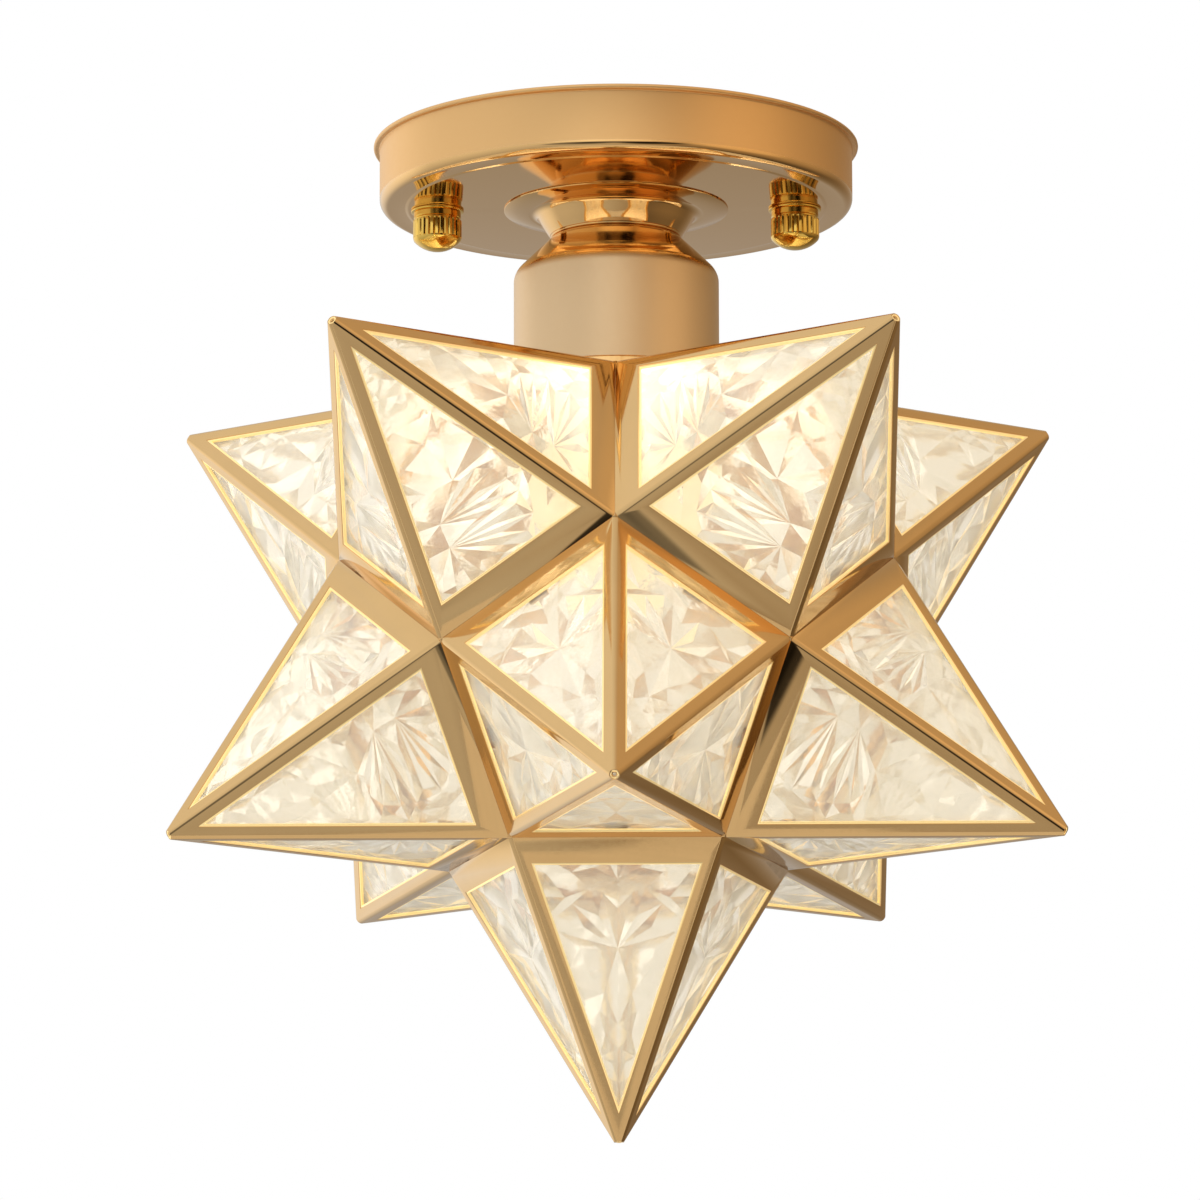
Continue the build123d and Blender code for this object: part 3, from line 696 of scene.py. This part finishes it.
class STARLIGHT_OT_cap_nuts(bpy.types.Operator):
    """Turn the knurled cap nuts and their washers"""

    bl_idname = "star_light.cap_nuts"
    bl_label = "Cap Nuts"

    def execute(self, context):
        ribs = sizes().knurl_ribs
        dome = (NUT_HALF_WIDTH**2 + NUT_DOME_HEIGHT**2) / (2 * NUT_DOME_HEIGHT)
        edge = degrees(asin((NUT_HALF_WIDTH - 0.25) / dome))
        profile = [(2.05, WASHER_UNDERSIDE), (5.55, WASHER_UNDERSIDE), (5.8, -16.95), (5.8, -18.25)]
        profile += [(5.55, -18.45), (5.55, -18.7), (5.95, -18.9), (KNURL_RADIUS, -19.2)]
        profile += [(KNURL_RADIUS, -23.2), (5.95, -23.4)]
        profile += arc((0, NUT_TIP + dome), dome, -90 + edge, -90, 9)
        profile += [(0, -24.55), (2.05, -24.55)]
        rim = [(2.4, WASHER_UNDERSIDE), (6.3, WASHER_UNDERSIDE), (6.44, -16.69), (6.5, -16.55)]
        rim += [(6.5, -16.35), (6.44, -16.21), (6.3, CANOPY_UNDERSIDE), (2.4, CANOPY_UNDERSIDE)]
        for side, x in STUDS:
            nut = turned("cap_nut_" + side + "_turning", profile, ribs * 4, x * MM, 25)
            edit(nut, "VERT")

            def groove(vertex):
                spot = vertex.co - Vector((x * MM, 0, 0))
                turn = degrees(atan2(spot.y, spot.x)) * ribs / 360 % 1
                outside = sqrt(spot.x**2 + spot.y**2) > 5.9 * MM
                return outside and -23.3 * MM < spot.z < -19.1 * MM and min(turn, 1 - turn) < 0.1

            if not pick(nut, "VERT", groove):
                raise RuntimeError("the knurl has no grooves")
            share = 1 - sizes().knurl_depth / (KNURL_RADIUS * MM)
            bpy.ops.transform.resize(value=(share, share, 1), center_override=(x * MM, 0, 0))
            bpy.ops.object.mode_set(mode="OBJECT")
            smooth(nut, 25)
            dress(nut, "nut_" + side, "brass_fasteners", "brass", "cap_nut_" + side)
            washer = turned("cap_washer_" + side + "_turning", rim, 64, x * MM)
            dress(washer, "washer_" + side, "brass_fasteners", "brass", "cap_washer_" + side)
        return {"FINISHED"}


class STARLIGHT_OT_threads(bpy.types.Operator):
    """Cut the threads of the canopy's studs and of the nipple"""

    bl_idname = "star_light.threads"
    bl_label = "Threads"

    def execute(self, context):
        studs = [threaded_rod("stud_" + side, *STUD_THREAD, x * MM, 20) for side, x in STUDS]
        rods = join("threaded_studs", *studs)
        smooth(rods, 30)
        dress(rods, "ceiling_bar", "zinc_steel", "zinc", "canopy_studs")
        tube = threaded_rod("nipple_tube", *NIPPLE_THREAD, 0.0, 40)
        carve(tube, cylinder("bore", NIPPLE_BORE, -30, -5))
        smooth(tube, 30)
        dress(tube, "canopy_set", "zinc_steel", "zinc", "threaded_nipple")
        return {"FINISHED"}


# One point's frame: a five sided cone, opened in each facet, with round ridges and a round tip
def frame_template():
    deselect()
    bpy.ops.mesh.primitive_cone_add(
        vertices=5, radius1=CORNER_RADIUS, radius2=0, depth=POINT_HEIGHT,
        end_fill_type="NOTHING", location=(0, 0, POINT_HEIGHT / 2), rotation=(0, 0, radians(-90)),
    )
    piece = named("point_frame")
    settle(piece)
    leg, band = sizes().ridge_leg, sizes().base_band
    edit(piece, "FACE")
    on_all(bpy.ops.mesh.inset, thickness=leg, use_boundary=True, use_individual=True)
    # The window's foot goes up to the height of the base band
    made = bmesh.from_edit_mesh(piece.data)
    if not any((v.co - Vector((CORNER_RADIUS, 0, 0))).length < 1e-5 for v in made.verts):
        raise RuntimeError("the point's frame has no corner on its X axis")
    lift = band - leg
    for facet in range(5):
        foot, rise, run, out = facet_axes(facet)
        for v in made.verts:
            spot = v.co - foot
            if abs(spot.dot(out)) < 1e-6 and abs(spot.dot(rise) - leg) < 1e-5:
                side = 1 if spot.dot(run) > 0 else -1
                v.co += rise * lift - run * side * lift * tan(HALF_TIP)
    bmesh.update_edit_mesh(piece.data)
    pick(piece, "FACE", lambda f: len(f.verts) == 3 and min(v.co.z for v in f.verts) > 2 * MM)
    bpy.ops.mesh.delete(type="FACE")
    bpy.ops.mesh.select_mode(type="EDGE")
    apex = Vector((0, 0, POINT_HEIGHT))

    def ridge(e):
        low, high = sorted(e.verts, key=lambda v: v.co.z)
        return (high.co - apex).length < 1e-6 and low.co.z < 1e-6

    pick(piece, "EDGE", ridge)
    bpy.ops.mesh.bevel(
        offset=sizes().ridge_rounding / tan(HALF_VALLEY), offset_type="OFFSET", segments=6,
        affect="EDGES", clamp_overlap=False,
    )
    # The tip is cut off where a ball touches the ridges, and closed over that ball
    ball = sizes().tip_rounding
    middle = POINT_HEIGHT - ball / sin(RIDGE_LEAN)
    cut = middle + ball * sin(RIDGE_LEAN)
    bpy.ops.mesh.select_mode(type="VERT")
    on_all(bpy.ops.mesh.bisect, plane_co=(0, 0, cut), plane_no=(0, 0, 1), clear_outer=True)
    pick(piece, "EDGE", lambda e: all(abs(v.co.z - cut) < 1e-7 for v in e.verts))
    here = RIDGE_LEAN
    rings = 5
    for ring in range(1, rings + 1):
        there = RIDGE_LEAN + (pi / 2 - RIDGE_LEAN) * ring / rings
        step = (0, 0, ball * (sin(there) - sin(here)))
        share = max(cos(there) / cos(here), 0.001)
        centre = (0, 0, middle + ball * sin(there))
        bpy.ops.mesh.extrude_region_move(TRANSFORM_OT_translate={"value": step})
        bpy.ops.transform.resize(value=(share, share, 1), center_override=centre)
        here = there
    bpy.ops.mesh.remove_doubles(threshold=MM / 100)
    on_all(bpy.ops.mesh.remove_doubles, threshold=MERGE)
    face_out()
    outward = piece.data.polygons[0].normal.dot(piece.data.polygons[0].center - apex * 0.3)
    if outward < 0:
        raise RuntimeError("the point's frame is inside out")
    return piece


# How far a bead lies under its frame's outer face, in metres
BEAD_SUNK = 0.12 * MM


# Beads round one point's windows, made from their outlines in a copy of the frame; they are a
# brighter gold with a painted glow, standing in for the lamp's light along the window edges
def bead_template(frame_piece):
    activate(frame_piece)
    bpy.ops.object.duplicate()
    piece = named("window_beads")
    edit(piece, "EDGE")
    outline = pick(piece, "EDGE", lambda e: e.is_boundary and min(v.co.z for v in e.verts) > MM / 2)
    if not outline:
        raise RuntimeError("the point's frame has no windows")
    bpy.ops.mesh.select_all(action="INVERT")
    bpy.ops.mesh.delete(type="EDGE")
    on_all(bpy.ops.mesh.edge_face_add)
    bpy.ops.mesh.select_mode(type="FACE")
    heart = Vector((0, 0, POINT_HEIGHT * 0.3))
    if pick(piece, "FACE", lambda f: f.normal.dot(f.calc_center_median() - heart) < 0):
        bpy.ops.mesh.flip_normals()
    on_all(bpy.ops.mesh.inset, thickness=sizes().painted_glow_bead, use_individual=True)
    bpy.ops.mesh.delete(type="FACE")
    on_all(bpy.ops.transform.shrink_fatten, value=-BEAD_SUNK)
    bpy.ops.object.mode_set(mode="OBJECT")
    thicken(piece, sizes().sheet - BEAD_SUNK)
    bevel(piece, 0.1 * MM, 2, 50)
    smooth(piece, 40)
    return piece


# Puts a copy of one point's template, with its own mesh, at each named point of the star
def place_copies(template, prefix, slot, material, node_prefix, names):
    for name in names:
        copy = template.copy()
        copy.data = template.data.copy()
        copy.name = prefix + name
        copy.data.name = prefix + name
        bpy.context.scene.collection.objects.link(copy)
        copy.data.transform(point_matrix(POINTS[name]))
        dress(copy, "star", slot, material, *([node_prefix + name] if node_prefix else []))
    bpy.data.objects.remove(template)


class STARLIGHT_OT_frames(bpy.types.Operator):
    """Model one point's frame and copy it to the eleven points"""

    bl_idname = "star_light.frames"
    bl_label = "Frames"

    def execute(self, context):
        template = frame_template()
        beads = bead_template(template)
        place_copies(beads, "glowing_window_beads_", "gold_frame", "painted_glow_bead", "", POINTS)
        thicken(template, sizes().sheet, True)
        bevel(template, 0.12 * MM, 1, 50)
        smooth(template, 40)
        place_copies(template, "gold_frame_", "gold_frame", "frame", "frame_", POINTS)
        return {"FINISHED"}


# Corners of one pane's relief: across and up towards the tip in millimetres, and share of depth
LARGE_FACETS = [
    (-9.1, 22.3, 0.0), (-0.3, 29.2, 0.05), (-7.6, 29.9, 0.9), (-7.9, 37.8, 0.1), (-0.4, 39.6, 1.0),
    (5.6, 45.4, 0.1), (-4.7, 46.5, 0.85), (-6.9, 45.6, 0.3), (-2.6, 54.9, 0.1), (2.1, 49.8, 0.9),
    (9.9, 34.6, 1.0), (11.5, 30.2, 0.1), (11.8, 27.4, 0.9), (-11.6, 30.2, 0.2), (-13.2, 26.2, 0.9),
    (-10.4, 35.0, 0.8), (0.6, 58.6, 0.8), (-1.2, 61.4, 0.15), (0.6, 65.2, 0.7), (3.2, 52.6, 0.3),
    (7.6, 40.6, 0.5),
]
LARGE_EDGES = [
    (0, 1), (1, 2), (0, 2), (2, 3), (3, 4), (4, 1), (4, 5), (4, 6), (3, 7), (6, 5), (6, 8), (8, 9),
    (9, 5), (9, 6), (1, 5), (1, 10), (1, 11), (5, 10), (0, 14), (2, 13), (6, 7), (3, 15), (1, 12),
]
UPPER_FAN = [
    (30, 11.5), (22, 16.5), (16, 11.0), (11, 18.5), (5, 12.0), (-1, 19.5), (-7, 12.5), (-12, 20.5),
    (-19, 12.0), (-27, 9.0),
]
LOWER_HUB = (-10.6, 16.4)
LOWER_FAN = [
    (12, 7.0), (4, 14.0), (-2, 19.0), (-8, 12.5), (-13, 21.5), (-19, 13.0), (-24, 19.0),
    (-33, 11.5), (-42, 13.0), (-58, 8.0), (-74, 9.0), (-95, 7.0), (-118, 9.5), (-140, 7.0),
    (-160, 8.5), (172, 5.5), (140, 6.5),
]
SMALL_FACETS = [
    (16.6, 14.8, 0.1), (13.4, 17.8, 0.9), (14.4, 21.4, 0.15), (12.2, 24.4, 0.8), (18.6, 9.2, 0.9),
    (14.0, 11.0, 0.1), (9.0, 9.4, 0.9), (3.6, 7.4, 0.1), (8.4, 12.6, 0.1), (17.8, 12.0, 0.7),
    (20.0, 7.2, 0.2), (12.0, 7.4, 0.1), (-2.4, 7.2, 0.8), (-18.6, 8.4, 0.9), (-14.6, 20.4, 0.8),
    (-20.0, 7.2, 0.1), (6.2, 25.6, 0.1), (9.4, 22.0, 0.9),
]


# Corners and edges of a fan of narrow wedges round a hub
def fan(points, edges, hub, wedges):
    last = None
    for number, (angle, radius) in enumerate(wedges):
        x, y = points[hub][0], points[hub][1]
        across, up = radius * cos(radians(angle)), radius * sin(radians(angle))
        points.append((x + across, y + up, 0.95 - 0.85 * (number % 2)))
        edges.append((hub, len(points) - 1))
        if last is not None:
            edges.append((last, len(points) - 1))
        last = len(points) - 1


# The relief of most panes: large facets above, and two fans from hubs beside the middle
def side_relief():
    points = list(LARGE_FACETS)
    edges = list(LARGE_EDGES)
    fan(points, edges, 0, UPPER_FAN)
    points.append((*LOWER_HUB, 0.0))
    fan(points, edges, len(points) - 1, LOWER_FAN)
    return points + SMALL_FACETS, edges


MIDDLE_HUB = (0.0, 28.0)
MIDDLE_FAN = [
    (90, 19.0), (106, 12.0), (122, 17.0), (142, 9.5), (160, 13.5), (178, 9.0), (196, 14.5),
    (212, 9.5), (226, 15.5), (240, 9.0), (255, 14.5),
]
MIDDLE_FACETS = [
    (0.0, 18.0, 0.1), (0.0, 11.0, 1.0), (6.5, 13.0, 0.1), (12.5, 15.5, 1.0), (5.5, 8.0, 0.9),
    (11.0, 9.0, 0.1), (17.0, 9.5, 1.0), (0.0, 7.0, 0.1), (3.2, 50.0, 1.0), (0.0, 53.0, 0.1),
    (1.6, 57.0, 0.9), (0.0, 62.0, 0.2), (8.0, 41.0, 0.1), (4.5, 44.0, 0.8), (14.5, 20.0, 0.1),
    (11.5, 33.0, 0.9), (0.0, 66.0, 0.9),
]


# The same for a pane that is alike on both sides of its middle
def middle_relief():
    points = [(*MIDDLE_HUB, 0.0)]
    edges = []
    rows = {}
    for side in (1, -1):
        last = None
        for number, (angle, radius) in enumerate(MIDDLE_FAN):
            x = MIDDLE_HUB[0] - side * radius * cos(radians(angle))
            y = MIDDLE_HUB[1] + radius * sin(radians(angle))
            if abs(x) < 0.01 and side < 0:
                last = rows[number]
                continue
            points.append((x, y, 1.0 if number % 2 else 0.1))
            here = len(points) - 1
            rows.setdefault(number, here)
            edges.append((0, here))
            if last is not None:
                edges.append((last, here))
            last = here
    for x, y, depth in MIDDLE_FACETS:
        points.append((x, y, depth))
        if x:
            points.append((-x, y, depth))
    return points, edges


# Half of a facet's width in millimetres, at a height above its base, less an inset from each ridge
def half_width(height, inset):
    return CAGE_EDGE / MM / 2 - inset / cos(HALF_TIP) - height * tan(HALF_TIP)


# Inset from the ridges and height of the foot, in millimetres: of a pane, and of its relief
PANE_INSET, PANE_FOOT = 2.0, 3.2
RELIEF_INSET, RELIEF_FOOT = 3.0, 6.0
RELIEF_TOP = 69.0
PANE_TOP_HALF_WIDTH = 0.6


# One pane's outer face in its facet's plane, in millimetres: corners with their depths, and faces
def pane_face(relief, flip):
    points, edges = relief()
    depth_of = sizes().relief / MM
    inside = []
    keep = {}
    for number, (x, y, depth) in enumerate(points):
        if RELIEF_FOOT < y < 66.5 and abs(x) < half_width(y, RELIEF_INSET) - 0.2:
            keep[number] = len(inside)
            inside.append((x * flip, y, depth * depth_of))
    edges = [(keep[a], keep[b]) for a, b in edges if a in keep and b in keep]
    # The rim under the frame is flat
    top = (half_width(0, PANE_INSET) - PANE_TOP_HALF_WIDTH) / tan(HALF_TIP)
    foot = half_width(PANE_FOOT, PANE_INSET)
    corners = [(-foot, PANE_FOOT), (foot, PANE_FOOT)]
    corners += [(PANE_TOP_HALF_WIDTH, top), (-PANE_TOP_HALF_WIDTH, top)]
    foot = half_width(RELIEF_FOOT, RELIEF_INSET)
    inner = [(-foot, RELIEF_FOOT), (foot, RELIEF_FOOT), (0, RELIEF_TOP)]
    rim = []
    for number in range(3):
        a, b = Vector(inner[number]), Vector(inner[(number + 1) % 3])
        count = 14 if number else 9
        for step in range(count):
            spot = a.lerp(b, step / count)
            rim.append((spot.x, spot.y, depth_of * 0.55 * (step % 2)))
    start = len(inside)
    edges += [(start + n, start + (n + 1) % len(rim)) for n in range(len(rim))]
    outline = start + len(rim)
    edges += [(outline + n, outline + (n + 1) % 4) for n in range(4)]
    every = inside + rim + [(x, y, 0.0) for x, y in corners]
    verts, _, faces, origins, _, _ = delaunay_2d_cdt(
        [Vector((p[0], p[1])) for p in every], edges, [], 1, 0.001
    )
    depths = [every[source[0]][2] if source else depth_of * 0.4 for source in origins]
    return [(v.x, v.y, d) for v, d in zip(verts, depths)], faces


# Five relief panes round one point, in the point's own place
def glass_template(relief, flip):
    top_verts, top_faces = pane_face(relief, flip)
    mesh = bpy.data.meshes.new("relief_panes")
    piece = bpy.data.objects.new("relief_panes", mesh)
    bpy.context.scene.collection.objects.link(piece)
    made = bmesh.new()
    seat = sizes().sheet
    for facet in range(5):
        foot, rise, run, out = facet_axes(facet)
        verts = [
            made.verts.new(foot + run * (x * MM) + rise * (y * MM) - out * (seat + depth * MM))
            for x, y, depth in top_verts
        ]
        faces = [made.faces.new([verts[n] for n in face]) for face in top_faces]
        for face in faces:
            face.normal_update()
            if face.normal.dot(out) < 0:
                face.normal_flip()
        grown = bmesh.ops.extrude_face_region(made, geom=faces, use_keep_orig=True)
        for v in grown["geom"]:
            if isinstance(v, bmesh.types.BMVert):
                v.co -= out * (seat + sizes().glass + (v.co - foot).dot(out))
    bmesh.ops.recalc_face_normals(made, faces=made.faces)
    made.to_mesh(mesh)
    made.free()
    return piece


class STARLIGHT_OT_glass(bpy.types.Operator):
    """Press the relief panes of the eleven points"""

    bl_idname = "star_light.glass"
    bl_label = "Relief Glass"

    def execute(self, context):
        right = ("low_right", "high_front_left", "high_left", "low_back_right")
        left = ("low_left", "high_front_right", "high_right", "low_back_left", "high_back")
        middle = ("bottom", "low_front")
        for relief, flip, names in (
            (side_relief, 1, right), (side_relief, -1, left), (middle_relief, 1, middle),
        ):
            template = glass_template(relief, flip)
            place_copies(template, "glass_", "moulded_glass", "relief", "panes_", names)
        return {"FINISHED"}


class STARLIGHT_OT_lamp(bpy.types.Operator):
    """Blow the lamp's globe and roll the thread of its screw cap"""

    bl_idname = "star_light.lamp"
    bl_label = "Lamp"

    def execute(self, context):
        shoulder = 52.0
        lean = radians(90 - shoulder)
        x, z = GLOBE_RADIUS * sin(lean), GLOBE_MIDDLE + GLOBE_RADIUS * cos(lean)
        outside = arc((0, GLOBE_MIDDLE), GLOBE_RADIUS, -90, shoulder, 40)
        outside += [(x - 1.0, z + 1.45), (11.9, -68.6), (11.6, -67.0), (11.6, -63.45)]
        inside = [(10.8, -63.45), (10.8, -67.0), (11.1, -68.9), (x - 1.65, z + 1.0)]
        inside += arc((0, GLOBE_MIDDLE), GLOBE_RADIUS - GLOBE_WALL, shoulder, -90, 40)
        globe = turned("lamp_globe_blown", outside + inside, 96, 0.0, 60)
        dress(globe, "lamp", "lamp_glass", "lamp_frosted", "lamp_globe")

        # One pitch of the cap's round thread, from one root to the next
        wave = [
            (LAMP_CAP_ROOT + LAMP_CAP_CREST * (0.5 - 0.5 * cos(2 * pi * n / 10)),
             LAMP_CAP_TOP + LAMP_CAP_PITCH * (n / 10 - 6))
            for n in range(11)
        ]
        shell = drawn("cap_thread", wave)
        screw(shell, LAMP_CAP_PITCH, 7, 64, LAMP_CAP_FOOT, LAMP_CAP_TOP, False)
        face_out()
        thicken(shell, 0.35 * MM)
        skirt = turned("cap_skirt", [
            (11.95, -63.3), (LAMP_CAP_ROOT, LAMP_CAP_FOOT), (LAMP_CAP_ROOT, -66.2),
            (12.2, -66.445), (11.95, -66.445),
        ], 64)
        cap = join("lamp_cap_rolled", shell, skirt)
        smooth(cap, 50)
        dress(cap, "lamp", "lamp_cap_nickel", "nickel", "lamp_screw_cap")
        return {"FINISHED"}


# Camera from the fit of the star's tips in the photograph
CAMERA_DISTANCE = 1.9574
CAMERA_ELEVATION = -11.378
CAMERA_AZIMUTH = 0.398
CAMERA_ROLL = -0.177
CAMERA_LENS = 241.03
CAMERA_SHIFT = (-0.01449, 0.02546)
FLOOR_SIZE = 4
FLOOR_HEIGHT = -2.4
# Name, place, size and power of each soft light
LIGHTS = (
    ("key_light", (-2.0, -1.1, 1.0), 2.4, 24),
    ("fill_light", (2.1, -1.2, 0.3), 2.0, 8),
    ("back_light", (-1.0, 2.2, 0.8), 2.0, 10),
)


class STARLIGHT_OT_stage(bpy.types.Operator):
    """Set up the camera, the pale floor, the studio's soft light and its surroundings"""

    bl_idname = "star_light.stage"
    bl_label = "Stage"

    def execute(self, context):
        scene = bpy.context.scene
        scene.view_settings.view_transform = "Standard"
        rise, turn, roll = map(radians, (CAMERA_ELEVATION, CAMERA_AZIMUTH, CAMERA_ROLL))
        back = Vector((sin(turn) * cos(rise), -cos(turn) * cos(rise), sin(rise)))
        right = Vector((cos(turn), sin(turn), 0))
        up = back.cross(right)
        deselect()
        bpy.ops.object.camera_add()
        camera = bpy.context.object
        camera.name = "camera"
        axes = (right * cos(roll) + up * sin(roll), up * cos(roll) - right * sin(roll), back)
        place = Matrix(axes).transposed().to_4x4()
        place.translation = STAR_CENTRE + back * CAMERA_DISTANCE
        camera.matrix_world = place
        camera.data.sensor_width = 36
        camera.data.lens = CAMERA_LENS
        camera.data.shift_x, camera.data.shift_y = CAMERA_SHIFT
        camera.data.clip_end = 20
        scene.camera = camera

        deselect()
        bpy.ops.mesh.primitive_plane_add(size=FLOOR_SIZE, location=(0, 0, FLOOR_HEIGHT))
        floor = bpy.context.object
        floor.name = "floor"
        settle(floor)
        made = Nodes("floor_pale")
        tone = made.span(made.noise(3, 2, 0.5), 0, 1)
        made.feed("Base Color", made.mix(tone, (0.80, 0.80, 0.80), (0.84, 0.84, 0.84)))
        made.feed("Roughness", 0.8)
        floor.data.materials.append(made.material)

        for name, spot, size, power in LIGHTS:
            bpy.ops.object.light_add(type="AREA", location=spot)
            light = bpy.context.object
            light.name = name
            light.data.shape = "DISK"
            light.data.size = size
            light.data.energy = power
            light.visible_glossy = False
            aim = STAR_CENTRE - Vector(spot)
            light.rotation_euler = aim.to_track_quat("-Z", "Y").to_euler()
        build_surroundings(scene)
        return {"FINISHED"}


# Bright walls in the reflections: direction, cosines where one starts and is full, brightness
WALLS = (
    ((0, -0.95, 0.30), 0.80, 0.98, 0.50),
    ((0.87, -0.46, 0.20), 0.85, 0.98, 0.30),
    ((0, -0.74, -0.68), 0.85, 0.99, 0.13),
    ((0.97, -0.20, 0.15), 0.50, 0.98, 0.26),
    ((-0.65, 0.75, 0), 0.75, 0.99, 0.40),
)
# Dark screens in front: their edge-on direction, their middle, and how dark they are
SCREENS = (
    ((0.727, 0.401, -0.559), (0.32, -0.90, -0.28), 0.92),
    ((-0.727, 0.401, -0.559), (-0.32, -0.90, -0.28), 0.65),
    ((0, 0.20, -0.98), (0, -0.98, -0.20), 0.75),
)


# The studio round the light: white to the camera and through the glass. In reflections it is a
# room that is brighter up and to the left and warmer to the right, with the walls and screens
def build_surroundings(scene):
    world = bpy.data.worlds.new("studio")
    scene.world = world
    world.use_nodes = True
    tree = world.node_tree
    sky = tree.nodes["Background"]

    def add(kind, **settings):
        node = tree.nodes.new(kind)
        for key, value in settings.items():
            setattr(node, key, value)
        return node

    def math(operation, *inputs):
        node = add("ShaderNodeMath", operation=operation)
        for number, value in enumerate(inputs):
            if isinstance(value, (int, float)):
                node.inputs[number].default_value = value
            else:
                tree.links.new(value, node.inputs[number])
        return node.outputs[0]

    def along(direction):
        node = add("ShaderNodeVectorMath", operation="DOT_PRODUCT")
        tree.links.new(where, node.inputs[0])
        node.inputs[1].default_value = direction
        return node.outputs["Value"]

    def span(value, start, end, low, high):
        node = add("ShaderNodeMapRange", interpolation_type="SMOOTHSTEP")
        limits = {"From Min": start, "From Max": end, "To Min": low, "To Max": high}
        for name, number in limits.items():
            node.inputs[name].default_value = number
        tree.links.new(value, node.inputs["Value"])
        return node.outputs["Result"]

    where = add("ShaderNodeTexCoord").outputs["Generated"]
    path = add("ShaderNodeLightPath").outputs
    seen = math("MAXIMUM", path["Is Camera Ray"], path["Is Transmission Ray"])
    room = math("ADD", along((-0.30, -0.05, 0.25)), 0.50)
    for direction, start, end, share in WALLS:
        room = math("ADD", room, span(along(direction), start, end, 0.0, share))
    for edge_on, middle, share in SCREENS:
        thin = span(math("ABSOLUTE", along(edge_on)), 0.10, 0.24, share, 0.0)
        screen = math("MULTIPLY", thin, span(along(middle), 0.92, 0.97, 0.0, 1.0))
        room = math("MULTIPLY", room, math("SUBTRACT", 1.0, screen))
    blend = add("ShaderNodeMix", data_type="RGBA")
    tree.links.new(span(along((1, 0, 0)), -0.3, 0.9, 0.0, 1.0), blend.inputs["Factor"])
    blend.inputs["A"].default_value = (1.0, 0.99, 0.97, 1)
    blend.inputs["B"].default_value = (1.0, 0.74, 0.46, 1)
    white = add("ShaderNodeMix", data_type="RGBA")
    tree.links.new(seen, white.inputs["Factor"])
    tree.links.new(blend.outputs["Result"], white.inputs["A"])
    white.inputs["B"].default_value = (1, 1, 1, 1)
    tree.links.new(white.outputs["Result"], sky.inputs["Color"])
    strength = add("ShaderNodeMix")
    tree.links.new(seen, strength.inputs["Factor"])
    tree.links.new(room, strength.inputs["A"])
    strength.inputs["B"].default_value = 1.0
    tree.links.new(strength.outputs["Result"], sky.inputs["Strength"])


STEPS = (
    "stage", "finishes", "softened", "canopy", "neck", "cap_nuts", "threads", "frames", "glass",
    "lamp",
)


class STARLIGHT_PT_panel(bpy.types.Panel):
    """The star light's sizes, colours and pieces"""

    bl_label = "Star Light"
    bl_idname = "STARLIGHT_PT_panel"
    bl_space_type = "VIEW_3D"
    bl_region_type = "UI"
    bl_category = "Star Light"

    def draw(self, context):
        for settings in (context.scene.star_light_sizes, context.scene.star_light_colours):
            for name in settings.__annotations__:
                self.layout.prop(settings, name)
        for step in STEPS:
            self.layout.operator("star_light." + step)


CLASSES = (
    StarLightSizes, StarLightColours, STARLIGHT_OT_stage, STARLIGHT_OT_finishes,
    STARLIGHT_OT_softened, STARLIGHT_OT_canopy, STARLIGHT_OT_neck, STARLIGHT_OT_cap_nuts,
    STARLIGHT_OT_threads, STARLIGHT_OT_frames, STARLIGHT_OT_glass, STARLIGHT_OT_lamp,
    STARLIGHT_PT_panel,
)


def register():
    for item in CLASSES:
        bpy.utils.register_class(item)
    bpy.types.Scene.star_light_sizes = PointerProperty(type=StarLightSizes)
    bpy.types.Scene.star_light_colours = PointerProperty(type=StarLightColours)


def unregister():
    del bpy.types.Scene.star_light_colours
    del bpy.types.Scene.star_light_sizes
    for item in reversed(CLASSES):
        bpy.utils.unregister_class(item)


def main():
    register()
    for step in STEPS:
        getattr(bpy.ops.star_light, step)()


if __name__ == "__main__":
    main()
